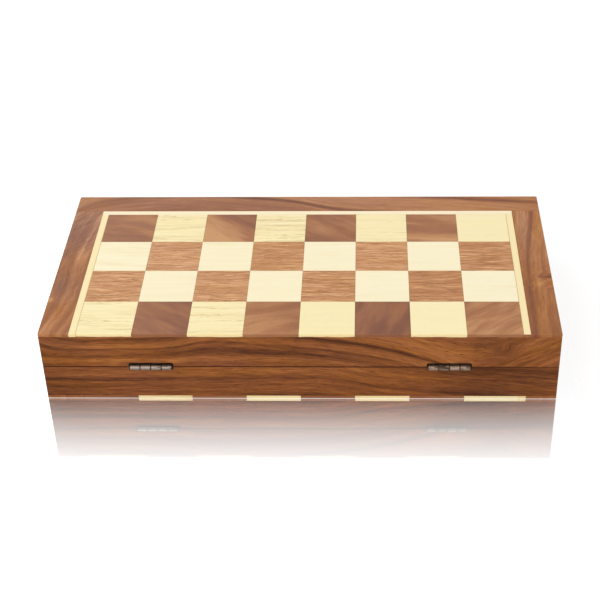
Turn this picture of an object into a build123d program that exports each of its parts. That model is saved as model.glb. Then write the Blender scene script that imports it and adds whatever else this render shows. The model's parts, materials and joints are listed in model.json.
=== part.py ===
from build123d import *
import os

# Folding chess board, shut. Two trays that are alike lie rim to rim, board faces outwards,
# and fold open on a pair of small butt hinges until both faces lie in one plane.
# Origin: the middle of the underside. +X along the hinges, from rank 1 to rank 8.
# +Y from the hinges to the edge that opens. +Z up. Millimetres.

# Board face: squares, light inlay and dark border are lamellas of one thickness
square = 32.5
ranks = 8
files_per_tray = 4
inlay_width = 4.2
border_width = 18.2
face_thickness = 2.0
thin_inlay_thickness = 0.6
glue_line = 0.1

# Tray: four rails round a plywood panel
tray_height = 23.9
seam_gap = 0.2
rail_thickness = 12.0
panel_thickness = 3.0
panel_rebate = 4.0
panel_clearance = 0.2
lining_thickness = 1.0
lining_clearance = 0.4
corner_radius = 0.8
face_easing = 0.3
rim_easing = 0.2

# Disc magnets let into the rims of the opening rails
magnet_radius = 4.0
magnet_thickness = 3.0
magnet_clearance = 0.05
magnet_inset = 40.0

# Butt hinges: the axis lies in the seam, just in front of the hinge face
hinge_length = 25.0
hinge_inset = 64.5
hinge_stand_off = 0.7
knuckles = 4
knuckle_gap = 0.2
barrel_radius = 1.6
barrel_clearance = 0.3
leaf_thickness = 0.8
leaf_width = 10.0
leaf_corner_radius = 1.0
mortise_clearance = 0.2
notch_depth = 2.5
lower_notch_relief = 0.4
upper_notch_relief = 1.3
notch_corner_radius = 1.2

# Hinge pins, with a small head peened on each end
pin_radius = 0.75
pin_clearance = 0.05
pin_head_radius = 1.2
pin_head_thickness = 0.4
pin_end_play = 0.1

# Countersunk cross-head wood screws, two in each leaf
screw_spacing = 14.0
screw_offset = 6.2
screw_length = 8.0
screw_shank_radius = 1.0
screw_head_radius = 1.75
screw_tip_length = 2.0
screw_tip_radius = 0.2
screw_clearance = 0.05
cross_width = 0.5
cross_length = 2.0
cross_depth = 0.9

# Places that follow from the sizes above
tray_length = ranks * square + 2 * (inlay_width + border_width)
tray_depth = files_per_tray * square + inlay_width + border_width
side_face = tray_length / 2
opening_face = tray_depth / 2
hinge_face = -tray_depth / 2
board_end = ranks * square / 2
board_edge = hinge_face + files_per_tray * square
inside_end = side_face - rail_thickness
inside_edge = opening_face - rail_thickness
panel_top = face_thickness + panel_thickness
seam_height = tray_height + seam_gap / 2
hinge_x = side_face - hinge_inset
hinge_y = hinge_face - hinge_stand_off
magnet_x = side_face - magnet_inset
magnet_y = opening_face - rail_thickness / 2
head_depth = screw_head_radius - screw_shank_radius
cut_margin = 1.0
# The inlay beside a tray's dark corner square is the thin one: no light end shows at the hinge face
thin_inlay_side = -1


def block(x, y, z):
    """A box between three (low, high) pairs."""
    corner = Pos(x[0], y[0], z[0])
    return corner * Box(x[1] - x[0], y[1] - y[0], z[1] - z[0], align=(Align.MIN,) * 3)


def rod(radius, x_low, x_high):
    """A round bar on the X axis."""
    bar = Cylinder(radius, x_high - x_low, align=(Align.CENTER, Align.CENTER, Align.MIN))
    return Pos(x_low, 0, 0) * Rot(0, 90, 0) * bar


def drum(radius, z_low, z_high, x=0, y=0):
    """A round bar that stands on end."""
    bar = Cylinder(radius, z_high - z_low, align=(Align.CENTER, Align.CENTER, Align.MIN))
    return Pos(x, y, z_low) * bar


def taper(low_radius, high_radius, z_low, z_high):
    """A cone frustum that stands on end at the origin."""
    cone = Cone(low_radius, high_radius, z_high - z_low, align=(Align.CENTER, Align.CENTER, Align.MIN))
    return Pos(0, 0, z_low) * cone


def fold_over(shape):
    """Turns a piece of the lower tray onto its place in the upper tray."""
    return shape.rotate(Axis((0, 0, seam_height), (0, 1, 0)), 180)


def tray_envelope():
    """The tray's whole outline, with eased corners and edges. Every wooden piece is cut from it."""
    body = block((-side_face, side_face), (hinge_face, opening_face), (0, tray_height))
    body = fillet(body.edges().filter_by(Axis.Z), corner_radius)
    body = fillet(body.edges().group_by(Axis.Z)[0], face_easing)
    return fillet(body.edges().group_by(Axis.Z)[-1], rim_easing)


def panel_pocket(clearance):
    """The space that the rebates leave for the panel, or the panel itself where clearance is given."""
    end = inside_end + panel_rebate - clearance
    edge = inside_edge + panel_rebate - clearance
    return block((-end, end), (-edge, edge), (face_thickness, panel_top))


def screw_places():
    """Where the two screws of a leaf stand, in the hinge's own frame."""
    return [Pos(side * screw_spacing / 2, screw_offset, 0) for side in (-1, 1)]


def screw():
    """One wood screw, its head flush with the leaf's inner face, in the hinge's own frame."""
    head_top = leaf_thickness - barrel_radius
    neck = head_top - head_depth
    tip = head_top - screw_length
    body = taper(screw_shank_radius, screw_head_radius, neck, head_top)
    body += drum(screw_shank_radius, tip + screw_tip_length, neck)
    body += taper(screw_tip_radius, screw_shank_radius, tip, tip + screw_tip_length)
    slot = (head_top - cross_depth, head_top + cut_margin)
    long_way = (-cross_length / 2, cross_length / 2)
    short_way = (-cross_width / 2, cross_width / 2)
    return body - block(long_way, short_way, slot) - block(short_way, long_way, slot)


def screw_hole():
    """The space of one screw, wider by the screw's clearance."""
    head_top = leaf_thickness - barrel_radius
    neck = head_top - head_depth
    tip = head_top - screw_length
    wide = screw_shank_radius + screw_clearance
    hole = taper(wide, wide + head_depth, neck, head_top)
    return hole + drum(wide, tip, neck)


def leaf():
    """One hinge leaf in the hinge's own frame: its plate lies under the axis, with every other knuckle."""
    plate_z = (-barrel_radius, leaf_thickness - barrel_radius)
    plate = block((-hinge_length / 2, hinge_length / 2), (0, leaf_width), plate_z)
    plate = fillet(plate.edges().filter_by(Axis.Z).group_by(Axis.Y)[-1], leaf_corner_radius)
    pitch = hinge_length / knuckles
    for index in range(knuckles):
        start = index * pitch - hinge_length / 2
        if index % 2 == 0:
            knuckle = rod(barrel_radius, start + knuckle_gap / 2, start + pitch - knuckle_gap / 2)
            plate += knuckle
        else:
            reach = barrel_radius + barrel_clearance
            sweep = (start - knuckle_gap / 2, start + pitch + knuckle_gap / 2)
            plate -= block(sweep, (-cut_margin, reach), (-2 * barrel_radius, 0))
    plate -= rod(pin_radius + pin_clearance, -hinge_length, hinge_length)
    for place in screw_places():
        plate -= place * screw_hole()
    return plate


def hinge_cut(notch_relief):
    """What one hinge takes out of a hinge rail, in the hinge's own frame."""
    rim = seam_gap
    leaf_end = hinge_length / 2 + mortise_clearance
    leaf_edge = leaf_width + mortise_clearance
    mortise = block((-leaf_end, leaf_end), (-cut_margin, leaf_edge), (-barrel_radius, rim))
    notch_end = hinge_length / 2 + pin_end_play + pin_head_thickness + mortise_clearance
    notch_floor = -barrel_radius - notch_relief
    notch_back = hinge_stand_off + notch_depth
    notch = block((-notch_end, notch_end), (-cut_margin, notch_back), (notch_floor, rim))
    floor_ends = notch.edges().filter_by(Axis.Y).group_by(Axis.Z)[0]
    cut = mortise + fillet(floor_ends, min(notch_corner_radius, notch_relief + barrel_radius / 2))
    for place in screw_places():
        cut += place * screw_hole()
    return cut


def hinge_pin():
    """The pin in the hinge's own frame, longer than the barrel by its two heads."""
    shoulder = hinge_length / 2 + pin_end_play
    end = shoulder + pin_head_thickness
    heads = rod(pin_head_radius, -end, -shoulder) + rod(pin_head_radius, shoulder, end)
    return rod(pin_radius, -end, end) + heads


def hinge_places():
    """Where the two hinges lie, the one at the rank 1 end first."""
    return [Pos(side * hinge_x, hinge_y, seam_height) for side in (-1, 1)]


def magnet_discs(radius):
    """Both magnets of a tray, or their recesses where the radius has the clearance added."""
    floor = tray_height - magnet_thickness
    return [drum(radius, floor, tray_height, side * magnet_x, magnet_y) for side in (-1, 1)]


def squares_of(file_index, parity):
    """The four squares of one colour in one file of a tray. File 0 runs along the hinges."""
    half_joint = glue_line / 2
    y_low = hinge_face + file_index * square
    cut = []
    for rank_index in range(ranks):
        if (rank_index + file_index) % 2 == parity:
            x_low = rank_index * square - board_end
            x = (x_low + half_joint, x_low + square - half_joint)
            # The hinge file runs out to the hinge face, so it has no joint there
            y = (y_low + (half_joint if file_index else 0), y_low + square - half_joint)
            cut.append(block(x, y, (0, face_thickness)))
    return cut


def tray(rank_1_side, rank_8_side, file_letters, notch_relief):
    """Every piece of a tray as it lies in the lower one, by name without the tray's own name."""
    envelope = tray_envelope()
    pocket = panel_pocket(0)
    body_z = (face_thickness, tray_height)
    face_z = (0, face_thickness)
    pieces = {}

    hinge_rail = block((-side_face, side_face), (hinge_face, -inside_edge), body_z) & envelope
    for place in hinge_places():
        hinge_rail -= place * hinge_cut(notch_relief)
    pieces["hinge_rail"] = hinge_rail - pocket

    opening_rail = block((-side_face, side_face), (inside_edge, opening_face), body_z) & envelope
    for recess in magnet_discs(magnet_radius + magnet_clearance):
        opening_rail -= recess
    pieces["opening_rail"] = opening_rail - pocket
    pieces["magnets"] = magnet_discs(magnet_radius)

    pieces["panel"] = panel_pocket(panel_clearance)
    lining_end = inside_end - lining_clearance
    lining_edge = inside_edge - lining_clearance
    pieces["lining"] = block(
        (-lining_end, lining_end), (-lining_edge, lining_edge), (panel_top, panel_top + lining_thickness)
    )

    inlay_end = board_end + inlay_width
    inlay_edge = board_edge + inlay_width
    joint = glue_line / 2
    pieces["opening_border"] = (
        block((-side_face, side_face), (inlay_edge + joint, opening_face), face_z) & envelope
    )
    pieces["opening_inlay"] = block(
        (-inlay_end + joint, inlay_end - joint), (board_edge + joint, inlay_edge - joint), face_z
    )
    for side, name in ((-1, rank_1_side), (1, rank_8_side)):
        rail_x = sorted((side * inside_end, side * side_face))
        rail = block(rail_x, (-inside_edge, inside_edge), body_z) & envelope
        pieces[name + "_rail"] = rail - pocket
        border_x = sorted((side * (inlay_end + joint), side * side_face))
        border = block(border_x, (hinge_face, inlay_edge - joint), face_z)
        inlay_x = sorted((side * (board_end + joint), side * (inlay_end - joint)))
        inlay_z = face_z
        if side == thin_inlay_side:
            # This inlay is a thin line let into the border, which runs on under it
            inlay_z = (0, thin_inlay_thickness)
            under_x = sorted((side * (board_end + joint), side * side_face))
            under_z = (thin_inlay_thickness, face_thickness)
            border += block(under_x, (hinge_face, board_edge - joint), under_z)
        pieces[name + "_border"] = border & envelope
        pieces[name + "_inlay"] = block(inlay_x, (hinge_face, board_edge - joint), inlay_z) & envelope

    for index, letter in enumerate(file_letters):
        for parity, colour in ((0, "dark"), (1, "light")):
            cut = squares_of(index, parity)
            if index == 0:
                cut = [piece & envelope for piece in cut]
            pieces[f"file_{letter}_{colour}_squares"] = cut
    return pieces


def hinge_pieces(rank_1_side, rank_8_side, tray_name):
    """The leaves and screws that belong to a tray, as they lie in the lower one."""
    pieces = {}
    for place, side in zip(hinge_places(), (rank_1_side, rank_8_side)):
        pieces[f"{side}_hinge_{tray_name}_leaf"] = place * leaf()
        pieces[f"{side}_hinge_{tray_name}_screws"] = [place * spot * screw() for spot in screw_places()]
    return pieces


def node_name(tray_name, name):
    """Squares are named by their file, which tells the tray. Other pieces take the tray's name."""
    return name if name.startswith("file_") else f"{tray_name}_{name}"


def all_nodes():
    """Every node of the shut board by name, each as a list of solids."""
    nodes = {}
    lower = tray("left", "right", "efgh", lower_notch_relief)
    nodes.update({node_name("lower", name): shape for name, shape in lower.items()})
    nodes.update(hinge_pieces("left", "right", "lower"))
    upper = tray("right", "left", "dcba", upper_notch_relief)
    folded = {node_name("upper", name): shape for name, shape in upper.items()}
    folded.update(hinge_pieces("right", "left", "upper"))
    for name, shape in folded.items():
        solids = shape if isinstance(shape, list) else [shape]
        nodes[name] = [fold_over(solid) for solid in solids]
    for place, side in zip(hinge_places(), ("left", "right")):
        nodes[f"{side}_hinge_pin"] = place * hinge_pin()
    return {name: shape if isinstance(shape, list) else [shape] for name, shape in nodes.items()}


os.makedirs("parts", exist_ok=True)
for name, solids in sorted(all_nodes().items()):
    shape = solids[0] if len(solids) == 1 else Compound(children=solids)
    export_step(shape, f"parts/{name}.step")
    box = shape.bounding_box().size
    print(f"{name:32s} {len(solids)} solids, {box.X:.1f} x {box.Y:.1f} x {box.Z:.1f} mm")
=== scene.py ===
"""Folding chess board of rosewood and maple: the finish of every surface, and a pale studio."""

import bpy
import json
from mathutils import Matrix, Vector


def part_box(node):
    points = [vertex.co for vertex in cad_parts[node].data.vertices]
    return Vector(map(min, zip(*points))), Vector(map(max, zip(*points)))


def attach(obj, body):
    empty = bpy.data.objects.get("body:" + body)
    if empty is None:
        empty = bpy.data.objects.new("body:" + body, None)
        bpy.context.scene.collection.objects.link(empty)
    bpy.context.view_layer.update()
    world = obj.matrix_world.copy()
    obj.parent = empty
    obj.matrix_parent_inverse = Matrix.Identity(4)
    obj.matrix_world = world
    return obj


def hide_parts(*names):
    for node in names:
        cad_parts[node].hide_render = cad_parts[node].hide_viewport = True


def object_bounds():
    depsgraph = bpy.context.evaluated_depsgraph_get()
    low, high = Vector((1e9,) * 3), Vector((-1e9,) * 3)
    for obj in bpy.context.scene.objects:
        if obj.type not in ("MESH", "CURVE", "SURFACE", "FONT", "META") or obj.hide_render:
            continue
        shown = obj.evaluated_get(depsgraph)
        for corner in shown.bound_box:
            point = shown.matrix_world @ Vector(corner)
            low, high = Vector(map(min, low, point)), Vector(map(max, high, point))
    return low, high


bl_info = {
    "name": "Folding Chess Board",
    "version": (1, 0, 0),
    "blender": (4, 5, 0),
    "location": "3D View > Sidebar > Chess Board",
    "description": "Finishes a folding chess board in rosewood, maple, felt and steel, and lights it",
    "category": "Object",
}

import json
import math
import random
from dataclasses import dataclass

import bmesh
import bpy
from mathutils import Matrix, Vector

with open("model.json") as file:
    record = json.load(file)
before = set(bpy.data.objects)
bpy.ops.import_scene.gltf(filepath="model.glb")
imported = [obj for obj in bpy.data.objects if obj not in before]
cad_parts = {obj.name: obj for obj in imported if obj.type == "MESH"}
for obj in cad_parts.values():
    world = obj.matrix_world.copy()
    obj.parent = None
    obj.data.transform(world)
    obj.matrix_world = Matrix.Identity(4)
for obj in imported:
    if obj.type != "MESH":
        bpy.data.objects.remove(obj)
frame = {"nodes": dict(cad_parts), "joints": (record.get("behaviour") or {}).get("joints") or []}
CAD_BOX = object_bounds()

MM = 0.001

# Sizes read from the frame, in millimetres
TRAY_NAMES = ("lower", "upper")
HINGE_SIDES = ("left", "right")
FILE_LETTERS = "abcdefgh"
# Their ends at the hinge face took up the stain of the rail, so no light end shows there
THIN_INLAYS = ("lower_left_inlay", "upper_right_inlay")
FIRST_RANK_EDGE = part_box("file_a_dark_squares")[0].x / MM
SQUARE = (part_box("file_a_light_squares")[0].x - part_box("file_a_dark_squares")[0].x) / MM
HALF_LENGTH = CAD_BOX[1].x / MM
OPENING_FACE = CAD_BOX[1].y / MM
HINGE_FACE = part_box("lower_hinge_rail")[0].y / MM
SHUT_HEIGHT = CAD_BOX[1].z / MM
SEAM = SHUT_HEIGHT / 2
FACE_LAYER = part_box("lower_hinge_rail")[0].z / MM
HINGE_AXIS = [value / MM for value in frame["joints"][0]["pos_m"]]
LEAF_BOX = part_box("left_hinge_lower_leaf")
BARREL_RADIUS = HINGE_AXIS[2] - LEAF_BOX[0].z / MM
HINGE_LENGTH = (LEAF_BOX[1].x - LEAF_BOX[0].x) / MM
LEAF_WIDTH = LEAF_BOX[1].y / MM - HINGE_AXIS[1]
PIN_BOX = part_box("left_hinge_pin")
PIN_LENGTH = (PIN_BOX[1].x - PIN_BOX[0].x) / MM
PIN_HEAD = (PIN_BOX[1].z - PIN_BOX[0].z) / 2 / MM
SCREW_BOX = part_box("left_hinge_lower_screws")
SCREW_HEAD = (SCREW_BOX[1].y - SCREW_BOX[0].y) / 2 / MM
SCREW_LENGTH = (SCREW_BOX[1].z - SCREW_BOX[0].z) / MM
SCREW_SPACING = (SCREW_BOX[1].x - SCREW_BOX[0].x) / MM - 2 * SCREW_HEAD
SCREW_OFFSET = (SCREW_BOX[1].y + SCREW_BOX[0].y) / 2 / MM - HINGE_AXIS[1]

# Sizes of the fittings that the frame's boxes don't show, in millimetres
KNUCKLES = 4
KNUCKLE_GAP = 0.2
KNUCKLE_REACH = 1.9
LEAF_CORNER = 1.0
LEAF_SOFTNESS = 0.07
CORNER_STEPS = 6
CURL_STEPS = 26
PIN_RADIUS = 0.75
PIN_HEAD_THICKNESS = 0.4
SCREW_SHANK = 1.0
SCREW_PLAY = 0.05
SCREW_SIDES = 24
HEAD_RIM = 0.12
THREAD_PITCH = 0.9
THREAD_DEPTH = 0.28
# The thread is drawn in steps down the shank, and grows to its depth over the first few
THREAD_STEPS = 64
THREAD_GROWTH = 8
TIP_LENGTH = 2.0
POINT_LENGTH = 0.15
POINT_SHARE = 0.12
CROSS_WIDTH = 0.5
CROSS_LENGTH = 2.0
CROSS_DEPTH = 0.9
# Shares of its length and its width that the cross recess keeps at its floor
CROSS_FLOOR = (0.5, 0.62)
MAGNET_RIM = 0.35
RIM_STEPS = 4


def linear(code):
    """Turns an sRGB hex colour such as #A0703C into linear red, green, blue and alpha."""
    parts = [int(code[place:place + 2], 16) / 255 for place in (1, 3, 5)]
    return tuple(
        part / 12.92 if part <= 0.04045 else ((part + 0.055) / 1.055) ** 2.4 for part in parts
    ) + (1.0,)


def colour_property(name, description, code):
    """A colour that the user can change, with its default as a hex value."""
    return bpy.props.FloatVectorProperty(
        name=name, description=description, subtype="COLOR", size=4, min=0.0, max=1.0, default=linear(code)
    )


class ChessBoardTimber(bpy.types.PropertyGroup):
    """Colours of the timbers."""

    rail_dark: colour_property("Rail heartwood", "Late wood of the rails", "#522A12")
    rail_mid: colour_property("Rail wood", "Mean colour of the rails", "#8A5027")
    rail_light: colour_property("Rail sapwood", "Early wood of the rails", "#BB763A")
    border_dark: colour_property("Border heartwood", "Late wood of the borders", "#744026")
    border_mid: colour_property("Border wood", "Mean colour of the borders", "#9E6236")
    border_light: colour_property("Border sapwood", "Early wood of the borders", "#C88D58")
    plain_dark: colour_property("Dark square, late wood", "Flat-sawn dark squares", "#794225")
    plain_mid: colour_property("Dark square", "Mean colour of the flat-sawn dark squares", "#A06437")
    plain_light: colour_property("Dark square, early wood", "Flat-sawn dark squares", "#C9925E")
    pored_dark: colour_property("Pored square, late wood", "Quarter-sawn dark squares", "#9E602F")
    pored_mid: colour_property("Pored square", "Mean colour of the quarter-sawn dark squares", "#C58851")
    pored_light: colour_property("Pored square, early wood", "Quarter-sawn dark squares", "#E9B787")
    pore: colour_property("Rosewood pore", "Open pores of the rosewood", "#3A1D10")
    maple_dark: colour_property("Maple, late wood", "Streaks of the yellow squares", "#DCC48A")
    maple_mid: colour_property("Maple", "Mean colour of the yellow squares", "#FBE9B2")
    maple_light: colour_property("Maple, early wood", "Lightest colour of the yellow squares", "#FFF3C4")
    inlay_mid: colour_property("Inlay maple", "Mean colour of the inlay strips", "#FFEEC8")
    end_inlay_mid: colour_property(
        "End inlay maple", "Mean colour of the inlay strips at the ends", "#FFE3A6"
    )
    maple_pore: colour_property("Maple pore", "Fine pores of the maple", "#C9AE7C")
    maple_end: colour_property("Maple edge", "Edges of the maple squares on the hinge face", "#EFCD84")
    cream_dark: colour_property("Cream maple, late wood", "Streaks of the cream squares", "#EFDDB0")
    cream_mid: colour_property("Cream maple", "Mean colour of the cream squares", "#FDF0C8")
    cream_light: colour_property("Cream maple, early wood", "Lightest colour of the cream squares", "#FFF6D4")
    ply_dark: colour_property("Plywood, late wood", "Figure of the birch veneer", "#A98A5C")
    ply_mid: colour_property("Plywood", "Mean colour of the birch veneer", "#C9A87A")
    ply_light: colour_property("Plywood, early wood", "Lightest colour of the birch veneer", "#DDC39A")


class ChessBoardFittings(bpy.types.PropertyGroup):
    """Sizes and colours of the hinges, screws, magnets and linings."""

    sheet: bpy.props.FloatProperty(
        name="Leaf thickness", description="Thickness of the hinge steel in mm", default=0.8, min=0.3, max=1.2
    )
    curl_end: bpy.props.FloatProperty(
        name="Curl end", description="Angle at which a rolled knuckle ends", default=math.radians(-22),
        subtype="ANGLE",
    )
    steel: colour_property("Hinge steel", "Bare steel sheet of the left hinge", "#897B71")
    worn_steel: colour_property("Worn hinge steel", "Bare steel sheet of the right hinge", "#917B6B")
    # This colour also paints the shade between the hinge knuckles
    tarnish_and_joint_shade: colour_property("Tarnish", "Dull patches on the hinge steel", "#4A3D30")
    zinc: colour_property("Screw zinc", "Zinc plate on the screws", "#B9B3A2")
    nickel: colour_property("Magnet nickel", "Nickel plate on the magnets", "#C9C4BA")
    felt: colour_property("Felt", "Wool felt of the linings", "#2E5A3C")


class ChessBoardStudio(bpy.types.PropertyGroup):
    """Camera, lamps and floor."""

    camera_place: bpy.props.FloatVectorProperty(
        name="Camera", description="Where the camera stands", subtype="TRANSLATION", unit="LENGTH",
        default=(0.03957, -0.7124, 0.53065),
    )
    camera_dip: bpy.props.FloatProperty(
        name="Dip", description="How far the view looks down", subtype="ANGLE", default=math.radians(35.74)
    )
    camera_yaw: bpy.props.FloatProperty(
        name="Yaw", description="How far the view turns left", subtype="ANGLE", default=math.radians(1.889)
    )
    camera_roll: bpy.props.FloatProperty(
        name="Roll", description="Tilt of the picture", subtype="ANGLE", default=math.radians(-1.095)
    )
    lens: bpy.props.FloatProperty(
        name="Lens", description="Focal length in mm", default=82.82, min=20, max=200
    )
    shift: bpy.props.FloatProperty(name="Shift", description="Sideways lens shift", default=-0.05)
    sky: bpy.props.FloatProperty(name="Sky", description="Brightness of the white room", default=0.55, min=0)
    overhead: bpy.props.FloatProperty(
        name="Overhead lamp", description="Power of the large soft lamp, in watts", default=8.0, min=0
    )
    window: bpy.props.FloatProperty(
        name="Window lamp", description="Power of the lamp behind the board on the left, in watts",
        default=1.8, min=0,
    )
    fill: bpy.props.FloatProperty(
        name="Front fill", description="Power of the lamp beside the camera, in watts", default=8.6, min=0
    )
    floor_lift: bpy.props.FloatProperty(
        name="Floor lift", description="How far the floor is lifted to white where it is seen", default=0.28,
        min=0, max=1,
    )
    mirror: bpy.props.FloatProperty(
        name="Floor gloss", description="Share of mirror image at the board's foot", default=0.91,
        min=0, max=1,
    )
    # Width of the painted highlight line on the floor at the board's foot
    painted_foot_line: bpy.props.FloatProperty(
        name="Foot line", description="Width of the bright line at the board's foot", unit="LENGTH",
        default=0.00035,
    )
    mirror_reach: bpy.props.FloatProperty(
        name="Gloss reach", description="How far from the board the mirror image fades out",
        unit="LENGTH", default=0.066,
    )


def find_socket(sockets, key):
    """A socket by its number or its identifier."""
    if isinstance(key, int):
        return sockets[key]
    return next(socket for socket in sockets if socket.identifier == key)


def add_node(tree, kind, inputs=None, **settings):
    """Adds a node with its settings. Inputs take a value, a socket, or a node's first live output."""
    node = tree.nodes.new(kind)
    for name, value in settings.items():
        setattr(node, name, value)
    for key, value in (inputs or {}).items():
        socket = find_socket(node.inputs, key)
        if isinstance(value, bpy.types.Node):
            value = next(output for output in value.outputs if output.enabled)
        if isinstance(value, bpy.types.NodeSocket):
            tree.links.new(value, socket)
        else:
            socket.default_value = value
    return node


def new_material(name):
    """An empty node material and its output node."""
    material = bpy.data.materials.new(name)
    material.use_nodes = True
    material.node_tree.nodes.clear()
    return material, add_node(material.node_tree, "ShaderNodeOutputMaterial")


def set_ramp(node, stops, interpolation="LINEAR"):
    """Fills a Color Ramp with (place, colour) stops."""
    ramp = node.color_ramp
    ramp.interpolation = interpolation
    while len(ramp.elements) < len(stops):
        ramp.elements.new(1.0)
    for element, (place, colour) in zip(ramp.elements, stops):
        element.position = place
        element.color = colour


@dataclass(frozen=True)
class Finish:
    """How one kind of sawn timber looks once finished. Lengths are in millimetres."""

    dark: tuple
    mid: tuple
    light: tuple
    pore_colour: tuple
    band_width: float = 3.4
    band_length: float = 120.0
    band_strength: float = 1.0
    line_rate: float = 7.0
    line_strength: float = 0.10
    mottle_strength: float = 0.0
    fibre_width: float = 0.9
    fibre_length: float = 16.0
    fibre_strength: float = 0.45
    pore_width: float = 0.3
    pore_length: float = 6.0
    pore_share: float = 0.36
    pore_strength: float = 0.5
    streak_strength: float = 0.0
    curl: float = 1.6
    curl_length: float = 34.0
    waver: float = 0.2
    waver_length: float = 6.0
    hue: float = 0.25
    roughness: float = 0.42
    specular: float = 0.5
    bump: float = 0.06


@dataclass(frozen=True)
class Knot:
    """A knot, a swirl or a stain: its place along and across the grain, its half length and half
    width, how far it pushes the growth rings aside, all in mm, and how much it lightens and greys
    the wood."""

    along: float
    across: float
    length: float
    width: float
    push: float = 0.0
    tone: float = 0.0
    grey: float = 0.0


# A value of zero all along a board
LEVEL = ((-HALF_LENGTH, 0.0), (HALF_LENGTH, 0.0))


@dataclass(frozen=True)
class Cut:
    """How one board was sawn from the log. Places are in the board's frame, in millimetres.

    drift says how far the growth rings wander across the grain, tone how the board's lightness
    changes along it, wild how curly the grain gets, rings the lightness of each ring, clear how
    clearly the rings show along the grain, grey how grey and purple the wood is there and ripple how
    strongly light and dark bands cross the grain, all as (place, value) points. They hold at
    surface, the board's visible face; deeper in, the rings lie at a slant. Where drift_far is given,
    drift is what the rings do at the first of the board's two edges, and drift_far at the second.
    """

    seed: float
    grain: str = "x"
    across: str = "z"
    edges: tuple = ()
    surface: float = 0.0
    drift: tuple = LEVEL
    drift_far: tuple = ()
    tone: tuple = LEVEL
    wild: tuple = LEVEL
    rings: tuple = LEVEL
    clear: tuple = ((-HALF_LENGTH, 1.0), (HALF_LENGTH, 1.0))
    grey: tuple = ()
    ripple: tuple = ()
    knots: tuple = ()


@dataclass(frozen=True)
class Patch:
    """How one square was cut: the turn of its grain in degrees, its lightness, how its lightness
    leans to the right and to the back, how strong its streaks are and how curly its grain is."""

    turn: float = 0.0
    tone: float = 0.0
    lean_right: float = 0.0
    lean_back: float = 0.0
    figure: float = 1.0
    wild: float = 0.0


# Half of each is the most that a patch may hold
PATCH_SPANS = {
    "turn": 180.0, "tone": 4.0, "lean_right": 4.0, "lean_back": 4.0, "figure": 4.0, "wild": 10.0,
}


@dataclass(frozen=True)
class EndStain:
    """What the end of a strip took up at the hinge face: the colour and the strength of the stain
    there, the colour of the rail's own stain, and how raggedly that crept up the end, in mm."""

    colour: tuple
    strength: float
    rail_colour: tuple
    creep: float = 0.0


# The figure that all the timbers share, with sizes in millimetres
SWIRL = 0.5
CONTRAST = 2.2
MOTTLE_SIZE = (15.0, 1.9, 6.0)
HUE_SIZE = (70.0, 9.0, 20.0)
PORE_EDGE = 0.08
# The rows of streaks and the dashes in a row: size, detail, and the noise where one begins and is full
STREAKS = (
    ((45.0, 3.2, 9.0), 1.0, 0.06, 0.2),
    ((4.5, 0.55, 1.0), 2.0, -0.04, 0.16),
)
RIPPLE_TURN = math.radians(-45)
RIPPLE_SIZE = (13.0, 2.6, 13.0)
RING_SLANT = 0.3
GREY_HUE = -0.02
FIBRE_ROUGHNESS = 0.12

# Half of these is the most that a curve holds
CURVE_SPAN = 100.0
TONE_SPAN = 4.0

# Steps in the log from one seed to the next, and from one square to the next, in millimetres
BOARD_STEP = (97.0, 0.0, 53.0)
SQUARE_STEP = 61.0
SQUARE_DEPTH_STEP = 31.0

# Rubbed edges, and the painted shade along the seam between the trays: sizes in millimetres, strengths as
# lightness
EDGE_WEAR = 0.07
EDGE_WIDTH = 1.0
EDGE_RAGGED = 1.6
EDGE_RAGGED_SIZE = (4.0, 4.0, 4.0)
SEAM_SHADE = ((-153, 0.6), (90, 0.6), (115, 0.2), (153, 0.1))
SEAM_SHADE_EDGE = (0.55, 0.2)

# The glue line beside an end inlay: its width, its lightness and how soon in its width it fades
GLUE_LINE = 0.35
GLUE_TONE = -1.2
GLUE_FADE = 0.4

# Stain on the ends at the hinge face: how deep it begins and is full, and how it creeps up
STAIN_DEPTH = (0.35, 0.05)
DARK_STAIN = 0.6
LIGHT_STAIN = {"d": 0.5, "e": 0.3}
INLAY_STAIN = 0.5
CREEP = 1.5
CREEP_SIZE = (9.0, 9.0, 9.0)
CREEP_STRENGTH = 0.9


def curve_along(tree, place, points, span=CURVE_SPAN):
    """Reads a smooth curve of (place, value) points, with values between minus and plus half a span."""
    low, high = points[0][0], points[-1][0]
    share = add_node(tree, "ShaderNodeMapRange", {"Value": place, "From Min": low, "From Max": high})
    curve = add_node(tree, "ShaderNodeFloatCurve", {"Value": share})
    line = curve.mapping.curves[0]
    while len(line.points) < len(points):
        line.points.new(0.5, 0.5)
    spots = [((x - low) / (high - low), value / span + 0.5) for x, value in points]
    for point, spot in zip(line.points, spots):
        point.location = spot
    curve.mapping.update()
    centred = add_node(tree, "ShaderNodeMath", {0: curve, 1: 0.5}, operation="SUBTRACT")
    return add_node(tree, "ShaderNodeMath", {0: centred, 1: span}, operation="MULTIPLY")


def centred_noise(tree, place, size=None, detail=2.0, roughness=0.5):
    """Noise about zero, from minus a half to plus a half, with grains of a size given in mm."""
    if size is not None:
        place = add_node(
            tree, "ShaderNodeVectorMath", {0: place, 1: tuple(1 / part for part in size)},
            operation="MULTIPLY",
        )
    noise = add_node(
        tree, "ShaderNodeTexNoise", {"Vector": place, "Scale": 1.0, "Detail": detail, "Roughness": roughness}
    )
    return add_node(tree, "ShaderNodeMath", {0: noise, 1: 0.5}, operation="SUBTRACT")


def place_in_mm(tree):
    """The place on the piece, in millimetres."""
    coordinates = add_node(tree, "ShaderNodeTexCoord")
    return add_node(
        tree, "ShaderNodeVectorMath", {0: coordinates.outputs["Object"], "Scale": 1 / MM}, operation="SCALE"
    )


def axes_in_mm(tree):
    """The place on the piece as X, Y and Z, in millimetres."""
    return add_node(tree, "ShaderNodeSeparateXYZ", {"Vector": place_in_mm(tree)}).outputs


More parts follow.
